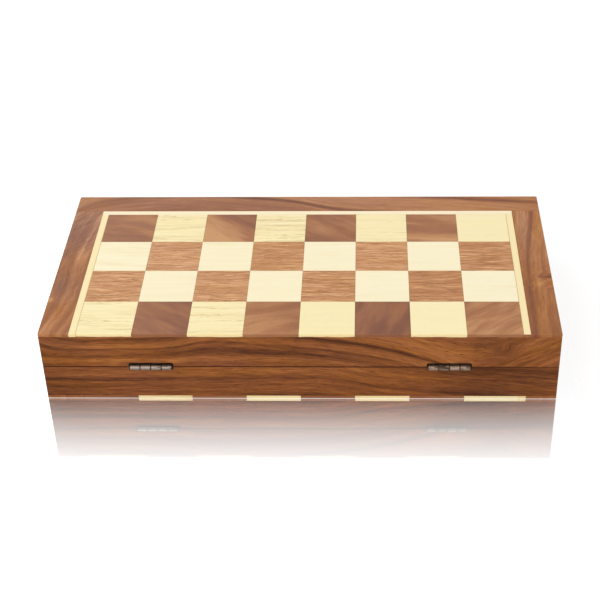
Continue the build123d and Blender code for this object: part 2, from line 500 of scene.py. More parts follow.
def height_from_seam(tree, axes):
    """How far a place lies above or below the seam, in millimetres."""
    rise = add_node(tree, "ShaderNodeMath", {0: axes["Z"], 1: SEAM}, operation="SUBTRACT")
    return add_node(tree, "ShaderNodeMath", {0: rise}, operation="ABSOLUTE")


def add_up(tree, total, parts):
    """A total with all its parts added, each a value and its strength."""
    for value, strength in parts:
        total = add_node(
            tree, "ShaderNodeMath", {0: value, 1: strength, 2: total}, operation="MULTIPLY_ADD"
        )
    return total


def wood_figure(tree, grain, finish, wild=0.0, figure=1.0):
    """The timber's lightness about zero, its pores, its fibres and its hue, from places in the grain.

    A grain place has x along the grain, y across it and z through the board, in mm."""
    axes = add_node(tree, "ShaderNodeSeparateXYZ", {"Vector": grain}).outputs
    length = finish.curl_length
    sway = centred_noise(tree, grain, (length, 0.6 * length, length))
    curl = add_node(tree, "ShaderNodeMath", {0: wild, 1: 2 * finish.curl}, operation="ADD")
    length = finish.waver_length
    wobble = centred_noise(tree, grain, (length, 0.5 * length, length), detail=1.0)
    waver = add_node(
        tree, "ShaderNodeMath", {0: wild, 1: SWIRL, 2: 4 * finish.waver}, operation="MULTIPLY_ADD"
    )
    across = add_up(tree, 0.0, ((sway, curl), (wobble, waver), (axes["Y"], 1.0)))
    bent = add_node(tree, "ShaderNodeCombineXYZ", {"X": axes["X"], "Y": across, "Z": axes["Z"]})
    width = finish.band_width
    bands = centred_noise(tree, bent, (finish.band_length, width, 3 * width), roughness=0.55)
    turns = add_node(
        tree, "ShaderNodeMath", {0: bands, 1: 2 * math.pi * finish.line_rate}, operation="MULTIPLY"
    )
    lines = add_node(tree, "ShaderNodeMath", {0: turns}, operation="SINE")
    width = finish.fibre_width
    fibres = centred_noise(tree, bent, (finish.fibre_length, width, width), roughness=0.6)
    parts = [
        (bands, CONTRAST * finish.band_strength),
        (lines, finish.line_strength),
        (fibres, CONTRAST * finish.fibre_strength),
    ]
    if finish.mottle_strength:
        mottle = centred_noise(tree, bent, MOTTLE_SIZE, detail=3.0, roughness=0.6)
        parts.append((mottle, CONTRAST * finish.mottle_strength))
    light = add_up(tree, 0.0, parts)
    light = add_node(tree, "ShaderNodeMath", {0: light, 1: figure}, operation="MULTIPLY")
    width = finish.pore_width
    dashes = centred_noise(tree, bent, (finish.pore_length, width, width), detail=1.0)
    edge = 0.5 - finish.pore_share
    pores = add_node(
        tree, "ShaderNodeMapRange", {"Value": dashes, "From Min": edge, "From Max": edge + PORE_EDGE},
        interpolation_type="SMOOTHSTEP",
    )
    if finish.streak_strength:
        streaks = figure
        for size, detail, begin, full in STREAKS:
            share = add_node(
                tree, "ShaderNodeMapRange",
                {"Value": centred_noise(tree, bent, size, detail), "From Min": begin, "From Max": full},
                interpolation_type="SMOOTHSTEP",
            )
            streaks = add_node(tree, "ShaderNodeMath", {0: share, 1: streaks}, operation="MULTIPLY")
        light = add_node(
            tree, "ShaderNodeMath", {0: streaks, 1: -finish.streak_strength, 2: light},
            operation="MULTIPLY_ADD",
        )
    return light, pores, fibres, centred_noise(tree, bent, HUE_SIZE)


def rubbed_edges_and_seam_shade(tree, light):
    """Paints shade along the seam between the trays, and rubs the wood lighter at the other edges."""
    axes = axes_in_mm(tree)
    inward = []
    for axis, half in (("X", HALF_LENGTH), ("Y", OPENING_FACE)):
        out = add_node(tree, "ShaderNodeMath", {0: axes[axis]}, operation="ABSOLUTE")
        inward.append(add_node(tree, "ShaderNodeMath", {0: half, 1: out}, operation="SUBTRACT"))
    from_seam = height_from_seam(tree, axes)
    from_face = add_node(tree, "ShaderNodeMath", {0: SEAM, 1: from_seam}, operation="SUBTRACT")
    # On an outer face the middle one of the three depths is the distance to the nearest edge
    near = add_node(tree, "ShaderNodeMath", {0: inward[0], 1: inward[1]}, operation="MINIMUM")
    far = add_node(tree, "ShaderNodeMath", {0: inward[0], 1: inward[1]}, operation="MAXIMUM")
    edge = add_node(tree, "ShaderNodeMath", {0: far, 1: from_face}, operation="MINIMUM")
    edge = add_node(tree, "ShaderNodeMath", {0: near, 1: edge}, operation="MAXIMUM")
    ragged = centred_noise(tree, place_in_mm(tree), EDGE_RAGGED_SIZE, detail=3.0)
    edge = add_node(tree, "ShaderNodeMath", {0: ragged, 1: EDGE_RAGGED, 2: edge}, operation="MULTIPLY_ADD")
    rubbed = add_node(
        tree, "ShaderNodeMapRange",
        {"Value": edge, "From Min": EDGE_WIDTH, "From Max": 0.0, "To Max": EDGE_WEAR},
        interpolation_type="SMOOTHSTEP",
    )
    # Painted shade: the wood is darkened in a thin band along the seam between the two trays
    seam = add_node(tree, "ShaderNodeMath", {0: near, 1: from_seam}, operation="MAXIMUM")
    painted_shade = add_node(
        tree, "ShaderNodeMapRange",
        {"Value": seam, "From Min": SEAM_SHADE_EDGE[0], "From Max": SEAM_SHADE_EDGE[1],
         "To Max": curve_along(tree, axes["X"], SEAM_SHADE, TONE_SPAN)},
        interpolation_type="SMOOTHSTEP",
    )
    return add_up(tree, light, ((rubbed, 1.0), (painted_shade, -1.0)))


def stained_end(tree, colour, stain):
    """The wood's colour, with the stain that its end at the hinge face took up."""
    axes = axes_in_mm(tree)
    begin, full = STAIN_DEPTH
    end = add_node(
        tree, "ShaderNodeMapRange",
        {"Value": axes["Y"], "From Min": HINGE_FACE + begin, "From Max": HINGE_FACE + full},
    )
    share = add_node(tree, "ShaderNodeMath", {0: end, 1: stain.strength}, operation="MULTIPLY")
    coats = [(share, stain.colour)]
    if stain.creep:
        ragged = centred_noise(tree, place_in_mm(tree), CREEP_SIZE, detail=3.0)
        rise = add_node(
            tree, "ShaderNodeMath", {0: ragged, 1: stain.creep, 2: height_from_seam(tree, axes)},
            operation="MULTIPLY_ADD",
        )
        joint = SEAM - FACE_LAYER
        crept = add_node(
            tree, "ShaderNodeMapRange",
            {"Value": rise, "From Min": joint + begin, "From Max": joint + full, "To Max": CREEP_STRENGTH},
            interpolation_type="SMOOTHSTEP",
        )
        share = add_node(tree, "ShaderNodeMath", {0: crept, 1: end}, operation="MULTIPLY")
        coats.append((share, stain.rail_colour))
    for share, coat in coats:
        colour = add_node(
            tree, "ShaderNodeMix", {"Factor_Float": share, "A_Color": colour, "B_Color": coat},
            data_type="RGBA",
        )
    return colour


def wood_shader(material, output, finish, figure, stain=None, grey=None):
    """Colours the timber by its lightness, darkens its pores and gives it its surface.

    stain is what its end at the hinge face took up, and grey how grey and purple the wood is."""
    light, pores, fibres, hue = figure
    tree = material.node_tree
    place = add_node(tree, "ShaderNodeMath", {0: light, 1: 0.5}, operation="ADD")
    ramp = add_node(tree, "ShaderNodeValToRGB", {"Fac": place})
    set_ramp(ramp, ((0.0, finish.dark), (0.5, finish.mid), (1.0, finish.light)))
    depth = add_node(tree, "ShaderNodeMath", {0: pores, 1: finish.pore_strength}, operation="MULTIPLY")
    colour = add_node(
        tree, "ShaderNodeMix", {"Factor_Float": depth, "A_Color": ramp, "B_Color": finish.pore_colour},
        data_type="RGBA",
    )
    hue_parts = [(hue, 0.1 * finish.hue)]
    richness_parts = [(hue, finish.hue)]
    if grey is not None:
        hue_parts.append((grey, GREY_HUE))
        richness_parts.append((grey, -1.0))
    colour = add_node(
        tree, "ShaderNodeHueSaturation",
        {"Hue": add_up(tree, 0.5, hue_parts), "Saturation": add_up(tree, 1.0, richness_parts),
         "Color": colour},
    )
    if stain is not None:
        colour = stained_end(tree, colour, stain)
    height = add_node(tree, "ShaderNodeMath", {0: pores, 1: -1.0, 2: fibres}, operation="MULTIPLY_ADD")
    bump = add_node(
        tree, "ShaderNodeBump", {"Height": height, "Strength": 1.0, "Distance": finish.bump * MM}
    )
    rough = add_node(
        tree, "ShaderNodeMath", {0: fibres, 1: FIBRE_ROUGHNESS, 2: finish.roughness},
        operation="MULTIPLY_ADD",
    )
    shader = add_node(
        tree, "ShaderNodeBsdfPrincipled",
        {"Base Color": colour, "Roughness": rough, "Normal": bump, "Specular IOR Level": finish.specular},
    )
    tree.links.new(shader.outputs[0], output.inputs[0])


def knot_shape(tree, along, across, knot):
    """From 0 outside a knot to 1 at its heart."""
    spot = add_node(tree, "ShaderNodeCombineXYZ", {"X": along, "Y": across})
    off = add_node(
        tree, "ShaderNodeVectorMath", {0: spot, 1: (knot.along, knot.across, 0)}, operation="SUBTRACT"
    )
    size = add_node(
        tree, "ShaderNodeVectorMath", {0: off, 1: (1 / knot.length, 1 / knot.width, 0)},
        operation="MULTIPLY",
    )
    reach = add_node(tree, "ShaderNodeVectorMath", {0: size}, operation="LENGTH")
    return add_node(
        tree, "ShaderNodeMapRange", {"Value": reach.outputs["Value"], "From Min": 1.0, "From Max": 0.0},
        interpolation_type="SMOOTHERSTEP",
    )


def board_timber(name, finish, cut, stain=None, worn=False):
    """Solid timber for one board, with the figure of its own cut."""
    material, output = new_material(name)
    tree = material.node_tree
    axes = axes_in_mm(tree)
    other = next(axis for axis in "xyz" if axis not in (cut.grain, cut.across))
    along, across, through = (axes[axis.upper()] for axis in (cut.grain, cut.across, other))
    drift = curve_along(tree, along, cut.drift)
    if cut.drift_far:
        far = curve_along(tree, along, cut.drift_far)
        share = add_node(
            tree, "ShaderNodeMapRange", {"Value": across, "From Min": cut.edges[0], "From Max": cut.edges[1]}
        )
        drift = add_node(tree, "ShaderNodeMix", {"Factor_Float": share, "A_Float": drift, "B_Float": far})
    ring = add_node(tree, "ShaderNodeMath", {0: across, 1: drift}, operation="SUBTRACT")
    depth = add_node(tree, "ShaderNodeMath", {0: through, 1: cut.surface}, operation="SUBTRACT")
    cores = [(knot, knot_shape(tree, along, across, knot)) for knot in cut.knots]
    ring = add_up(tree, ring, [(depth, RING_SLANT)] + [(core, knot.push) for knot, core in cores])
    grain = add_node(tree, "ShaderNodeCombineXYZ", {"X": along, "Y": ring, "Z": through})
    place = tuple(cut.seed * step for step in BOARD_STEP)
    grain = add_node(tree, "ShaderNodeVectorMath", {0: grain, 1: place}, operation="ADD")
    light, *marks = wood_figure(tree, grain, finish, curve_along(tree, along, cut.wild))
    clear = curve_along(tree, along, cut.clear, TONE_SPAN)
    parts = [
        (curve_along(tree, along, cut.tone, TONE_SPAN), 1.0),
        (curve_along(tree, ring, cut.rings, TONE_SPAN), clear),
    ]
    parts += [(core, knot.tone) for knot, core in cores]
    if cut.ripple:
        flat = add_node(tree, "ShaderNodeCombineXYZ", {"X": along, "Y": across})
        turned = add_node(
            tree, "ShaderNodeVectorRotate", {"Vector": flat, "Angle": RIPPLE_TURN}, rotation_type="Z_AXIS"
        )
        bands = centred_noise(tree, turned, RIPPLE_SIZE, detail=3.0)
        parts.append((bands, curve_along(tree, along, cut.ripple, TONE_SPAN)))
    light = add_up(tree, light, parts)
    grey = None
    if cut.grey:
        grey = curve_along(tree, along, cut.grey, TONE_SPAN)
        grey = add_up(tree, grey, [(core, knot.grey) for knot, core in cores])
    # Rubbed edges, and painted shade along the seam
    if worn:
        light = rubbed_edges_and_seam_shade(tree, light)
    wood_shader(material, output, finish, (light, *marks), stain, grey)
    return material


def square_timber(name, finish, seed, first_rank, middle, patches, stain):
    """Timber for the four squares of one colour in a file, each from its own patch of a board."""
    material, output = new_material(name)
    tree = material.node_tree
    place = place_in_mm(tree)
    axes = add_node(tree, "ShaderNodeSeparateXYZ", {"Vector": place}).outputs
    start = FIRST_RANK_EDGE + (first_rank - 1) * SQUARE
    count = len(patches)
    share = add_node(
        tree, "ShaderNodeMapRange",
        {"Value": axes["X"], "From Min": start, "From Max": start + 2 * SQUARE * count},
    )
    read = {}
    for keys in (("turn", "tone", "figure"), ("lean_right", "lean_back", "wild")):
        # A ramp with flat steps holds three values for each square, each a share of its span about a half
        stops = []
        for index, patch in enumerate(patches):
            held = [getattr(patch, key) / PATCH_SPANS[key] + 0.5 for key in keys]
            stops.append((index / count, (*held, 1.0)))
        ramp = add_node(tree, "ShaderNodeValToRGB", {"Fac": share})
        set_ramp(ramp, stops, "CONSTANT")
        split = add_node(tree, "ShaderNodeSeparateColor", {"Color": ramp})
        for key, held in zip(keys, split.outputs):
            value = add_node(tree, "ShaderNodeMath", {0: held, 1: 0.5}, operation="SUBTRACT")
            read[key] = add_node(
                tree, "ShaderNodeMath", {0: value, 1: PATCH_SPANS[key]}, operation="MULTIPLY"
            )
    angle = add_node(tree, "ShaderNodeMath", {0: read["turn"]}, operation="RADIANS")
    turned = add_node(
        tree, "ShaderNodeVectorRotate", {"Vector": place, "Angle": angle}, rotation_type="Z_AXIS", invert=True
    )
    step = add_node(tree, "ShaderNodeMath", {0: share, 1: float(count)}, operation="MULTIPLY")
    whole = add_node(tree, "ShaderNodeMath", {0: step}, operation="FLOOR")
    jump = add_node(
        tree, "ShaderNodeMath", {0: whole, 1: SQUARE_STEP, 2: seed * BOARD_STEP[0]},
        operation="MULTIPLY_ADD",
    )
    far = add_node(tree, "ShaderNodeCombineXYZ", {"X": jump, "Y": jump, "Z": seed * SQUARE_DEPTH_STEP})
    grain = add_node(tree, "ShaderNodeVectorMath", {0: turned, 1: far}, operation="ADD")
    light, *marks = wood_figure(tree, grain, finish, read["wild"], read["figure"])
    # A square's own place runs from minus one to plus one; every other square is of the other colour
    within = add_node(tree, "ShaderNodeMath", {0: step}, operation="FRACT")
    right = add_node(tree, "ShaderNodeMath", {0: within, 1: 4.0, 2: -1.0}, operation="MULTIPLY_ADD")
    back = add_node(tree, "ShaderNodeMath", {0: axes["Y"], 1: middle}, operation="SUBTRACT")
    back = add_node(tree, "ShaderNodeMath", {0: back, 1: SQUARE / 2}, operation="DIVIDE")
    light = add_up(
        tree, light, ((read["tone"], 1.0), (read["lean_right"], right), (read["lean_back"], back))
    )
    wood_shader(material, output, finish, (light, *marks), stain)
    return material


def dress(node_name, material):
    """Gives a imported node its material."""
    slots = frame["nodes"][node_name].data.materials
    slots.clear()
    slots.append(material)


def finishes(timber):
    """The finishes of the board's timbers."""
    return {
        # Oiled rosewood, planed along the grain: warm, with long dark heart lines and a low sheen
        "rail": Finish(
            timber.rail_dark, timber.rail_mid, timber.rail_light, timber.pore, roughness=0.55, specular=0.12,
            band_strength=0.34, line_strength=0.03, mottle_strength=0.26, fibre_strength=0.36,
            fibre_width=0.7, fibre_length=9.0, pore_width=0.5, pore_length=4.0, pore_share=0.35,
            pore_strength=0.55, hue=0.12, waver=0.1, curl=1.1,
        ),
        # Lacquered rosewood strips: the white room lies over the brown as a soft haze
        "border": Finish(
            timber.border_dark, timber.border_mid, timber.border_light, timber.pore, roughness=0.40,
            specular=0.22, band_width=6.0, band_strength=0.42, line_strength=0.035, mottle_strength=0.22,
            fibre_strength=0.2, fibre_length=9.0, pore_width=0.5, pore_length=4.0, pore_share=0.35,
            pore_strength=0.35, hue=0.15,
        ),
        # Birch plywood: rotary-cut veneer, pale, with a broad soft figure
        "ply": Finish(
            timber.ply_dark, timber.ply_mid, timber.ply_light, timber.ply_dark, roughness=0.6, specular=0.3,
            band_width=14.0, band_length=90.0, band_strength=0.6, line_rate=5.0, line_strength=0.06,
            fibre_strength=0.25, pore_strength=0.15, curl=4.0,
        ),
        # Flat-sawn rosewood squares: broad figure at a slant, with soft-edged bands
        "plain": Finish(
            timber.plain_dark, timber.plain_mid, timber.plain_light, timber.pore, band_width=10.0,
            band_length=42.0, band_strength=0.55, line_rate=4.0, line_strength=0.025, fibre_strength=0.16,
            fibre_width=0.7, fibre_length=10.0, pore_width=0.55, pore_length=3.5, pore_share=0.35,
            pore_strength=0.35, roughness=0.36, specular=0.4, curl=4.0, hue=0.06,
        ),
        # Quarter-sawn rosewood squares: fine open pores, with pale lines between, wavy along the grain
        "pored": Finish(
            timber.pored_dark, timber.pored_mid, timber.pored_light, timber.pore, band_width=2.4,
            band_length=60.0, band_strength=0.26, line_rate=5.0, line_strength=0.12, fibre_width=0.5,
            fibre_length=13.0, fibre_strength=0.85, pore_width=0.6, pore_length=8.0, pore_share=0.35,
            pore_strength=0.5, waver=0.2, waver_length=4.5, curl=0.5, roughness=0.40, specular=0.4,
            bump=0.1, hue=0.1,
        ),
        # Maple squares of the outer files: yellow, with grey-brown streaks in short dashes
        "maple": Finish(
            timber.maple_dark, timber.maple_mid, timber.maple_light, timber.maple_pore, band_width=2.6,
            band_length=60.0, band_strength=0.42, line_strength=0.04, fibre_strength=0.35, fibre_width=0.6,
            pore_strength=0.15, pore_share=0.33, streak_strength=0.8, roughness=0.40, curl=0.8, bump=0.03,
            hue=0.1,
        ),
        # Maple inlay strips: straight and even, cream at the opening edge and yellow at the ends
        "inlay": Finish(
            timber.maple_dark, timber.inlay_mid, timber.maple_light, timber.maple_pore, band_width=2.0,
            band_strength=0.12, line_strength=0.01, fibre_strength=0.1, pore_strength=0.05, roughness=0.40,
            bump=0.02, hue=0.05,
        ),
        "end_inlay": Finish(
            timber.maple_dark, timber.end_inlay_mid, timber.maple_mid, timber.maple_pore, band_width=2.0,
            band_strength=0.16, line_strength=0.01, fibre_strength=0.16, pore_strength=0.05, roughness=0.40,
            bump=0.02, hue=0.05,
        ),
        # Maple squares of the inner files: cream, nearly plain
        "cream": Finish(
            timber.cream_dark, timber.cream_mid, timber.cream_light, timber.maple_pore, band_width=3.5,
            band_length=40.0, band_strength=0.28, line_strength=0.02, fibre_strength=0.12,
            pore_strength=0.06, roughness=0.40, curl=0.8, bump=0.02, hue=0.05,
        ),
    }


# The squares that show, of the upper tray's face and at the foot, by file and colour, from the first
# rank on
PATCHES = {
    "a_dark": (
        Patch(-10, -0.05, 0.08, 0.02), Patch(-42, 0.1, -0.32, -0.3), Patch(-32, -0.1, 0.0, 0.02),
        Patch(-4, 0.1, 0.05, -0.06),
    ),
    "b_dark": (
        Patch(0, 0.05, wild=2.3), Patch(1, -0.02, wild=2.3), Patch(-1, 0.05, wild=1.6),
        Patch(0, -0.1, figure=1.3),
    ),
    "c_dark": (
        Patch(1, 0.02, figure=1.15, wild=2.6), Patch(0, 0.0, figure=1.1, wild=2.4),
        Patch(0, 0.0, figure=1.1, wild=2.0), Patch(1, -0.12, figure=1.1, wild=1.2),
    ),
    "d_dark": (
        Patch(-34, -0.2, -0.05, 0.0), Patch(14, 0.1, -0.1, -0.12, figure=0.75),
        Patch(72, -0.3, -0.02, 0.0), Patch(40, 0.22, 0.06, -0.1, figure=1.2),
    ),
    "a_light": (
        Patch(0, 0.0, figure=1.2), Patch(0, -0.02, figure=1.6), Patch(0, 0.05, figure=0.8),
        Patch(0, 0.12, figure=0.25),
    ),
    "b_light": (
        Patch(figure=1.6), Patch(figure=1.1), Patch(0, 0.05, figure=1.5), Patch(0, 0.1, figure=1.3),
    ),
    "c_light": (
        Patch(figure=0.9), Patch(0, 0.05, figure=1.0), Patch(0, 0.1, figure=1.5), Patch(0, 0.1, figure=1.4),
    ),
    "d_light": (
        Patch(0, 0.05, figure=1.4), Patch(0, 0.05, figure=1.0), Patch(0, 0.12, figure=0.35),
        Patch(0, 0.2, figure=0.25),
    ),
    "e_light": (
        Patch(0, -0.12, figure=1.8), Patch(0, 0.05, figure=0.8), Patch(0, 0.1, figure=0.8),
        Patch(0, 0.3, figure=0.5),
    ),
}


def drawn_patches(kind, dark):
    """Four patches drawn from a fixed seed, for the squares of the lower tray."""
    draw = random.Random(kind)
    patches = []
    for _ in range(4):
        turn = draw.uniform(-50, 50) if kind[0] in "eh" and dark else draw.uniform(-2, 2)
        lean = [draw.uniform(-0.15, 0.15) if dark else 0.0 for _ in range(2)]
        patches.append(Patch(turn, draw.uniform(-0.15, 0.15), *lean, draw.uniform(0.6, 1.5)))
    return patches


def end_stain(timber, letter, dark):
    """What the ends of a file's squares took up. Only files d and e reach the hinge face."""
    if letter not in LIGHT_STAIN:
        return None
    creep = CREEP if letter == "d" else 0.0
    if dark:
        return EndStain(timber.rail_mid, DARK_STAIN, timber.rail_mid, creep)
    return EndStain(timber.maple_end, LIGHT_STAIN[letter], timber.rail_mid, creep)


class CHESSBOARD_OT_squares(bpy.types.Operator):
    """Finish the 64 squares: rosewood and maple, each square with its own cut of the timber"""

    bl_idname = "chessboard.squares"
    bl_label = "Finish Squares"

    def execute(self, context):
        timber = context.scene.chess_timber
        kinds = finishes(timber)
        for index, letter in enumerate(FILE_LETTERS):
            outer = letter in "adeh"
            for dark in (True, False):
                colour = "dark" if dark else "light"
                kind = f"{letter}_{colour}"
                patches = PATCHES.get(kind) or drawn_patches(kind, dark)
                if dark:
                    finish = kinds["plain" if outer else "pored"]
                else:
                    finish = kinds["maple" if outer else "cream"]
                first_rank = 1 if (index % 2 == 0) == dark else 2
                node = f"file_{letter}_{colour}_squares"
                low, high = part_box(node)
                wood = "rosewood" if dark else "maple"
                seed = 3.1 + index + (0 if dark else 14.2)
                middle = (low.y + high.y) / 2 / MM
                material = square_timber(
                    f"{wood}_{letter}_squares", finish, seed, first_rank, middle, patches,
                    end_stain(timber, letter, dark),
                )
                dress(node, material)
        return {"FINISHED"}


UPPER_HINGE_RAIL = Cut(
    seed=1.0,
    edges=(SEAM, SHUT_HEIGHT - FACE_LAYER),
    surface=HINGE_FACE,
    drift=(
        (-153, 0), (-50, 0), (11, -1), (50, -8), (75, -16), (98, -24), (112, -22), (130, -12), (153, 4),
    ),
    drift_far=(
        (-153, 4), (-131, -2.5), (-108, -1.5), (-78, 0), (-54, 5.5), (-20, 3), (11, -1), (50, -8),
        (75, -16), (98, -21), (112, -22), (130, -15), (153, -2),
    ),
    wild=((-153, 0.5), (-60, 0), (85, 0), (102, 3.5), (153, 5)),
    tone=(
        (-153, -0.14), (-132, -0.08), (-112, 0.05), (-92, 0.02), (-62, -0.05), (40, -0.06), (98, 0.02),
        (106, -0.12), (125, -0.1), (140, 0.02), (153, 0.0),
    ),
    clear=((-153, 0.7), (85, 0.7), (104, 0.3), (153, 0.25)),
    rings=(
        (23, 0.08), (26, 0.0), (29, 0.16), (31.5, -0.1), (34, -0.24), (36, -0.04), (38, -0.26), (39.5, 0.12),
        (42, 0.08), (44, -0.1), (45.6, -0.42), (47.4, 0.12), (54, 0.16), (62, 0.1), (75, 0.0),
    ),
    knots=(Knot(120, 35, 11, 8, push=5, tone=-0.1),),
)
LOWER_HINGE_RAIL = Cut(
    seed=2.0,
    edges=(0.0, SEAM),
    surface=HINGE_FACE,
    drift=((-153, 0), (-57, 0), (-6, 1.5), (11, 1.5), (50, -6), (100, -11), (153, -16)),
    drift_far=((-153, 0), (-57, 0), (-6, 1), (11, 1), (50, -6), (100, -11), (153, -16)),
    tone=((-153, -0.26), (-120, -0.1), (-60, -0.06), (40, -0.06), (72, -0.1), (90, -0.26), (153, -0.2)),
    rings=(
        (2, -0.15), (5, 0.08), (9, -0.1), (12, 0.12), (14.8, -0.26), (17, 0.05), (22, 0.12), (27, 0.12),
        (32, -0.12), (40, 0.0),
    ),
)
UPPER_OPENING_BORDER = Cut(
    seed=3.0,
    across="y",
    surface=SHUT_HEIGHT,
    drift=((-153, -17), (-121, -1), (-60, 1), (-12, -5.5), (22, -16), (60, -20), (101, -24), (153, -30)),
    tone=((-153, 0.0), (-60, 0.0), (40, 0.04), (153, 0.12)),
    clear=((-153, 0.5), (-110, 0.6), (-60, 0.9), (153, 1.0)),
    grey=((-153, 0.04), (-100, 0.07), (0, 0.07), (80, 0.03), (153, 0.0)),
    rings=(
        (55, 0), (68, -0.05), (73, -0.1), (76, -0.4), (79, 0.16), (86, 0.08), (95, 0.1), (98, -0.35),
        (101, 0), (110, 0),
    ),
)
UPPER_LEFT_BORDER = Cut(
    seed=4.0,
    grain="y",
    across="x",
    surface=SHUT_HEIGHT,
    wild=((-76.2, 1), (-20, 2), (20, 3), (76.2, 6)),
    drift=((-76.2, 0), (-50, 7), (-30, 10), (0, 10), (30, 13), (58, 18), (76.2, 22)),
    tone=(
        (-76.2, 0.08), (-50, 0.03), (-42, 0.0), (-28, -0.08), (-10, -0.02), (5, 0.02), (20, -0.03),
        (38, -0.02), (48, 0.1), (57, 0.13), (76.2, 0.0),
    ),
    rings=(
        (-172, 0.0), (-163, -0.06), (-158, -0.16), (-154.5, -0.12), (-151.5, 0.12), (-149.5, -0.12),
        (-147, 0.2), (-144, -0.06), (-141, 0.2), (-138, 0.04), (-135, 0.14), (-128, 0.0),
    ),
    clear=((-76.2, 0.8), (-20, 0.6), (30, 0.5), (76.2, 0.5)),
    grey=(
        (-76.2, 0.0), (-50, -0.02), (-38, 0.03), (-20, 0.04), (0, 0.03), (20, 0.09), (40, 0.12), (57, 0.1),
        (76.2, 0.05),
    ),
    ripple=((-76.2, 0.1), (-40, 0.2), (-10, 0.4), (10, 0.55), (40, 0.65), (57, 0.85), (76.2, 0.8)),
    knots=(
        Knot(-53, -144, 12, 4, tone=-0.14, grey=-0.05),
        Knot(-42, -150.5, 4, 3, tone=0.4),
        Knot(-28, -148, 14, 6, tone=-0.14, grey=0.06),
        Knot(5, -140, 14, 6, tone=0.22),
    ),
)
UPPER_RIGHT_BORDER = Cut(
    seed=5.0,
    grain="y",
    across="x",
    surface=SHUT_HEIGHT,
    drift=((-76.2, 0), (-25, 1.5), (-3, 2), (25, 5.5), (45, 8.5), (76.2, 10.5)),
    tone=((-76.2, -0.08), (-45, -0.06), (-18, -0.04), (0, 0.03), (50, 0.1), (76.2, 0.13)),
    rings=(
        (118, 0.0), (124, -0.04), (129, 0.1), (133, 0.02), (135.2, -0.16), (137, -0.42), (139, -0.04),
        (141, 0.14), (144, 0.16), (147, 0.0), (149, 0.06), (152, -0.18), (158, -0.1),
    ),
    clear=((-76.2, 0.5), (-20, 0.6), (5, 1.0), (76.2, 1.0)),
    grey=((-76.2, -0.01), (76.2, -0.02)),
    ripple=((-76.2, 0.05), (-36, 0.2), (-24, 1.0), (-10, 0.5), (6, 0.1), (76.2, 0.1)),
    knots=(
        Knot(35, 140, 60, 9, tone=0.06, grey=0.09),
        Knot(-17, 148, 5, 12, push=4, tone=-0.12),
        Knot(-18, 150, 1.4, 9, tone=-0.5),
        Knot(-24.5, 151.5, 3.5, 3, tone=0.1, grey=-0.25),
        Knot(-25, 143, 5, 5, tone=0.16),
    ),
)


CUTS = {
    "upper_hinge_rail": UPPER_HINGE_RAIL,
    "lower_hinge_rail": LOWER_HINGE_RAIL,
    "upper_opening_border": UPPER_OPENING_BORDER,
    "upper_left_border": UPPER_LEFT_BORDER,
    "upper_right_border": UPPER_RIGHT_BORDER,
}
# A tray's strips by kind, with the seed of the first one; the upper tray's seeds come after these
STRIPS = {
    "rail": (5.0, ("hinge_rail", "opening_rail", "left_rail", "right_rail")),
    "border": (25.0, ("opening_border", "left_border", "right_border")),
    "inlay": (45.0, ("opening_inlay", "left_inlay", "right_inlay")),
}
TRAY_SEEDS = 7
PANEL_SEED = 60.0


def glue_line(name):
    """Ring tones that draw a line of dark glue along the inner edge of an end inlay."""
    low, high = (corner.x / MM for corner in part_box(name))
    inner, outer = (low, high) if low > 0 else (high, low)
    way = math.copysign(GLUE_LINE, outer - inner)
    line = (
        (inner - way, GLUE_TONE), (inner + GLUE_FADE * way, GLUE_TONE), (inner + way, 0.0),
        (outer + way, 0.0),
    )
    return line if way > 0 else line[::-1]


class CHESSBOARD_OT_rails(bpy.types.Operator):
    """Finish the rails, borders, inlays and panels, each board with its own figure"""

    bl_idname = "chessboard.rails"
    bl_label = "Finish Rails and Borders"

    def execute(self, context):
        timber = context.scene.chess_timber
        kinds = finishes(timber)
        for tray_index, tray in enumerate(TRAY_NAMES):
            for kind, (first_seed, parts) in STRIPS.items():
                for index, part in enumerate(parts):
                    name = f"{tray}_{part}"
                    seed = first_seed + TRAY_SEEDS * tray_index + index
                    at_end = part.startswith(("left", "right"))
                    grain, across = ("y", "x") if at_end else ("x", "y")
                    if kind == "inlay":
                        rings = glue_line(name) if at_end else LEVEL
                        surface = tray_index * SHUT_HEIGHT
                        cut = Cut(seed=seed, grain=grain, across=across, surface=surface, rings=rings)
                        stain = EndStain(timber.maple_end, INLAY_STAIN, timber.rail_mid)
                        if name in THIN_INLAYS:
                            stain = EndStain(timber.rail_mid, 1.0, timber.rail_mid)
                        finish = kinds["end_inlay" if at_end else "inlay"]
                        dress(name, board_timber(f"maple_{name}", finish, cut, stain))
                    else:
                        across = "z" if kind == "rail" else across
                        cut = CUTS.get(name) or Cut(seed=seed, grain=grain, across=across)
                        dress(name, board_timber(f"rosewood_{name}", kinds[kind], cut, worn=True))
            cut = Cut(seed=PANEL_SEED + tray_index, across="y")
            dress(f"{tray}_panel", board_timber(f"birch_plywood_{tray}", kinds["ply"], cut))
        return {"FINISHED"}


# Painted shade between the knuckles and dull patches on the steel, with sizes in millimetres
JOINT_SHADE_SIZE = (1.5, 0.8, 0.8)
JOINT_SHADE_RAGGED = 0.8
JOINT_SHADE_EDGE = (0.55, 0.2)
# 0.26 patches to the millimetre along the hinge, and 0.7 across it
DULL_PATCHES = (1 / 0.26, 1 / 0.7, 1 / 0.7)
PATCH_EDGE = 0.26
# Drawn lines are 0.05 mm apart on the real sheet; here they are 0.25 mm, as fine as shows
DRAWN_LINES = (5.0, 0.25, 0.25)
# How the dull patches grow or shrink along each hinge, as (place in mm, value) points
TARNISH = {
    "left": ((-101, 0.03), (-98, -0.05), (-93, 0), (-86, 0.04), (-82, 0.08), (-79, 0.16), (-75, 0.2)),
    "right": (
        (75, 0.1), (78, -0.04), (82, 0.08), (87, 0.08), (90, -0.1), (94, -0.04), (97, 0.06), (101, 0),
    ),
}


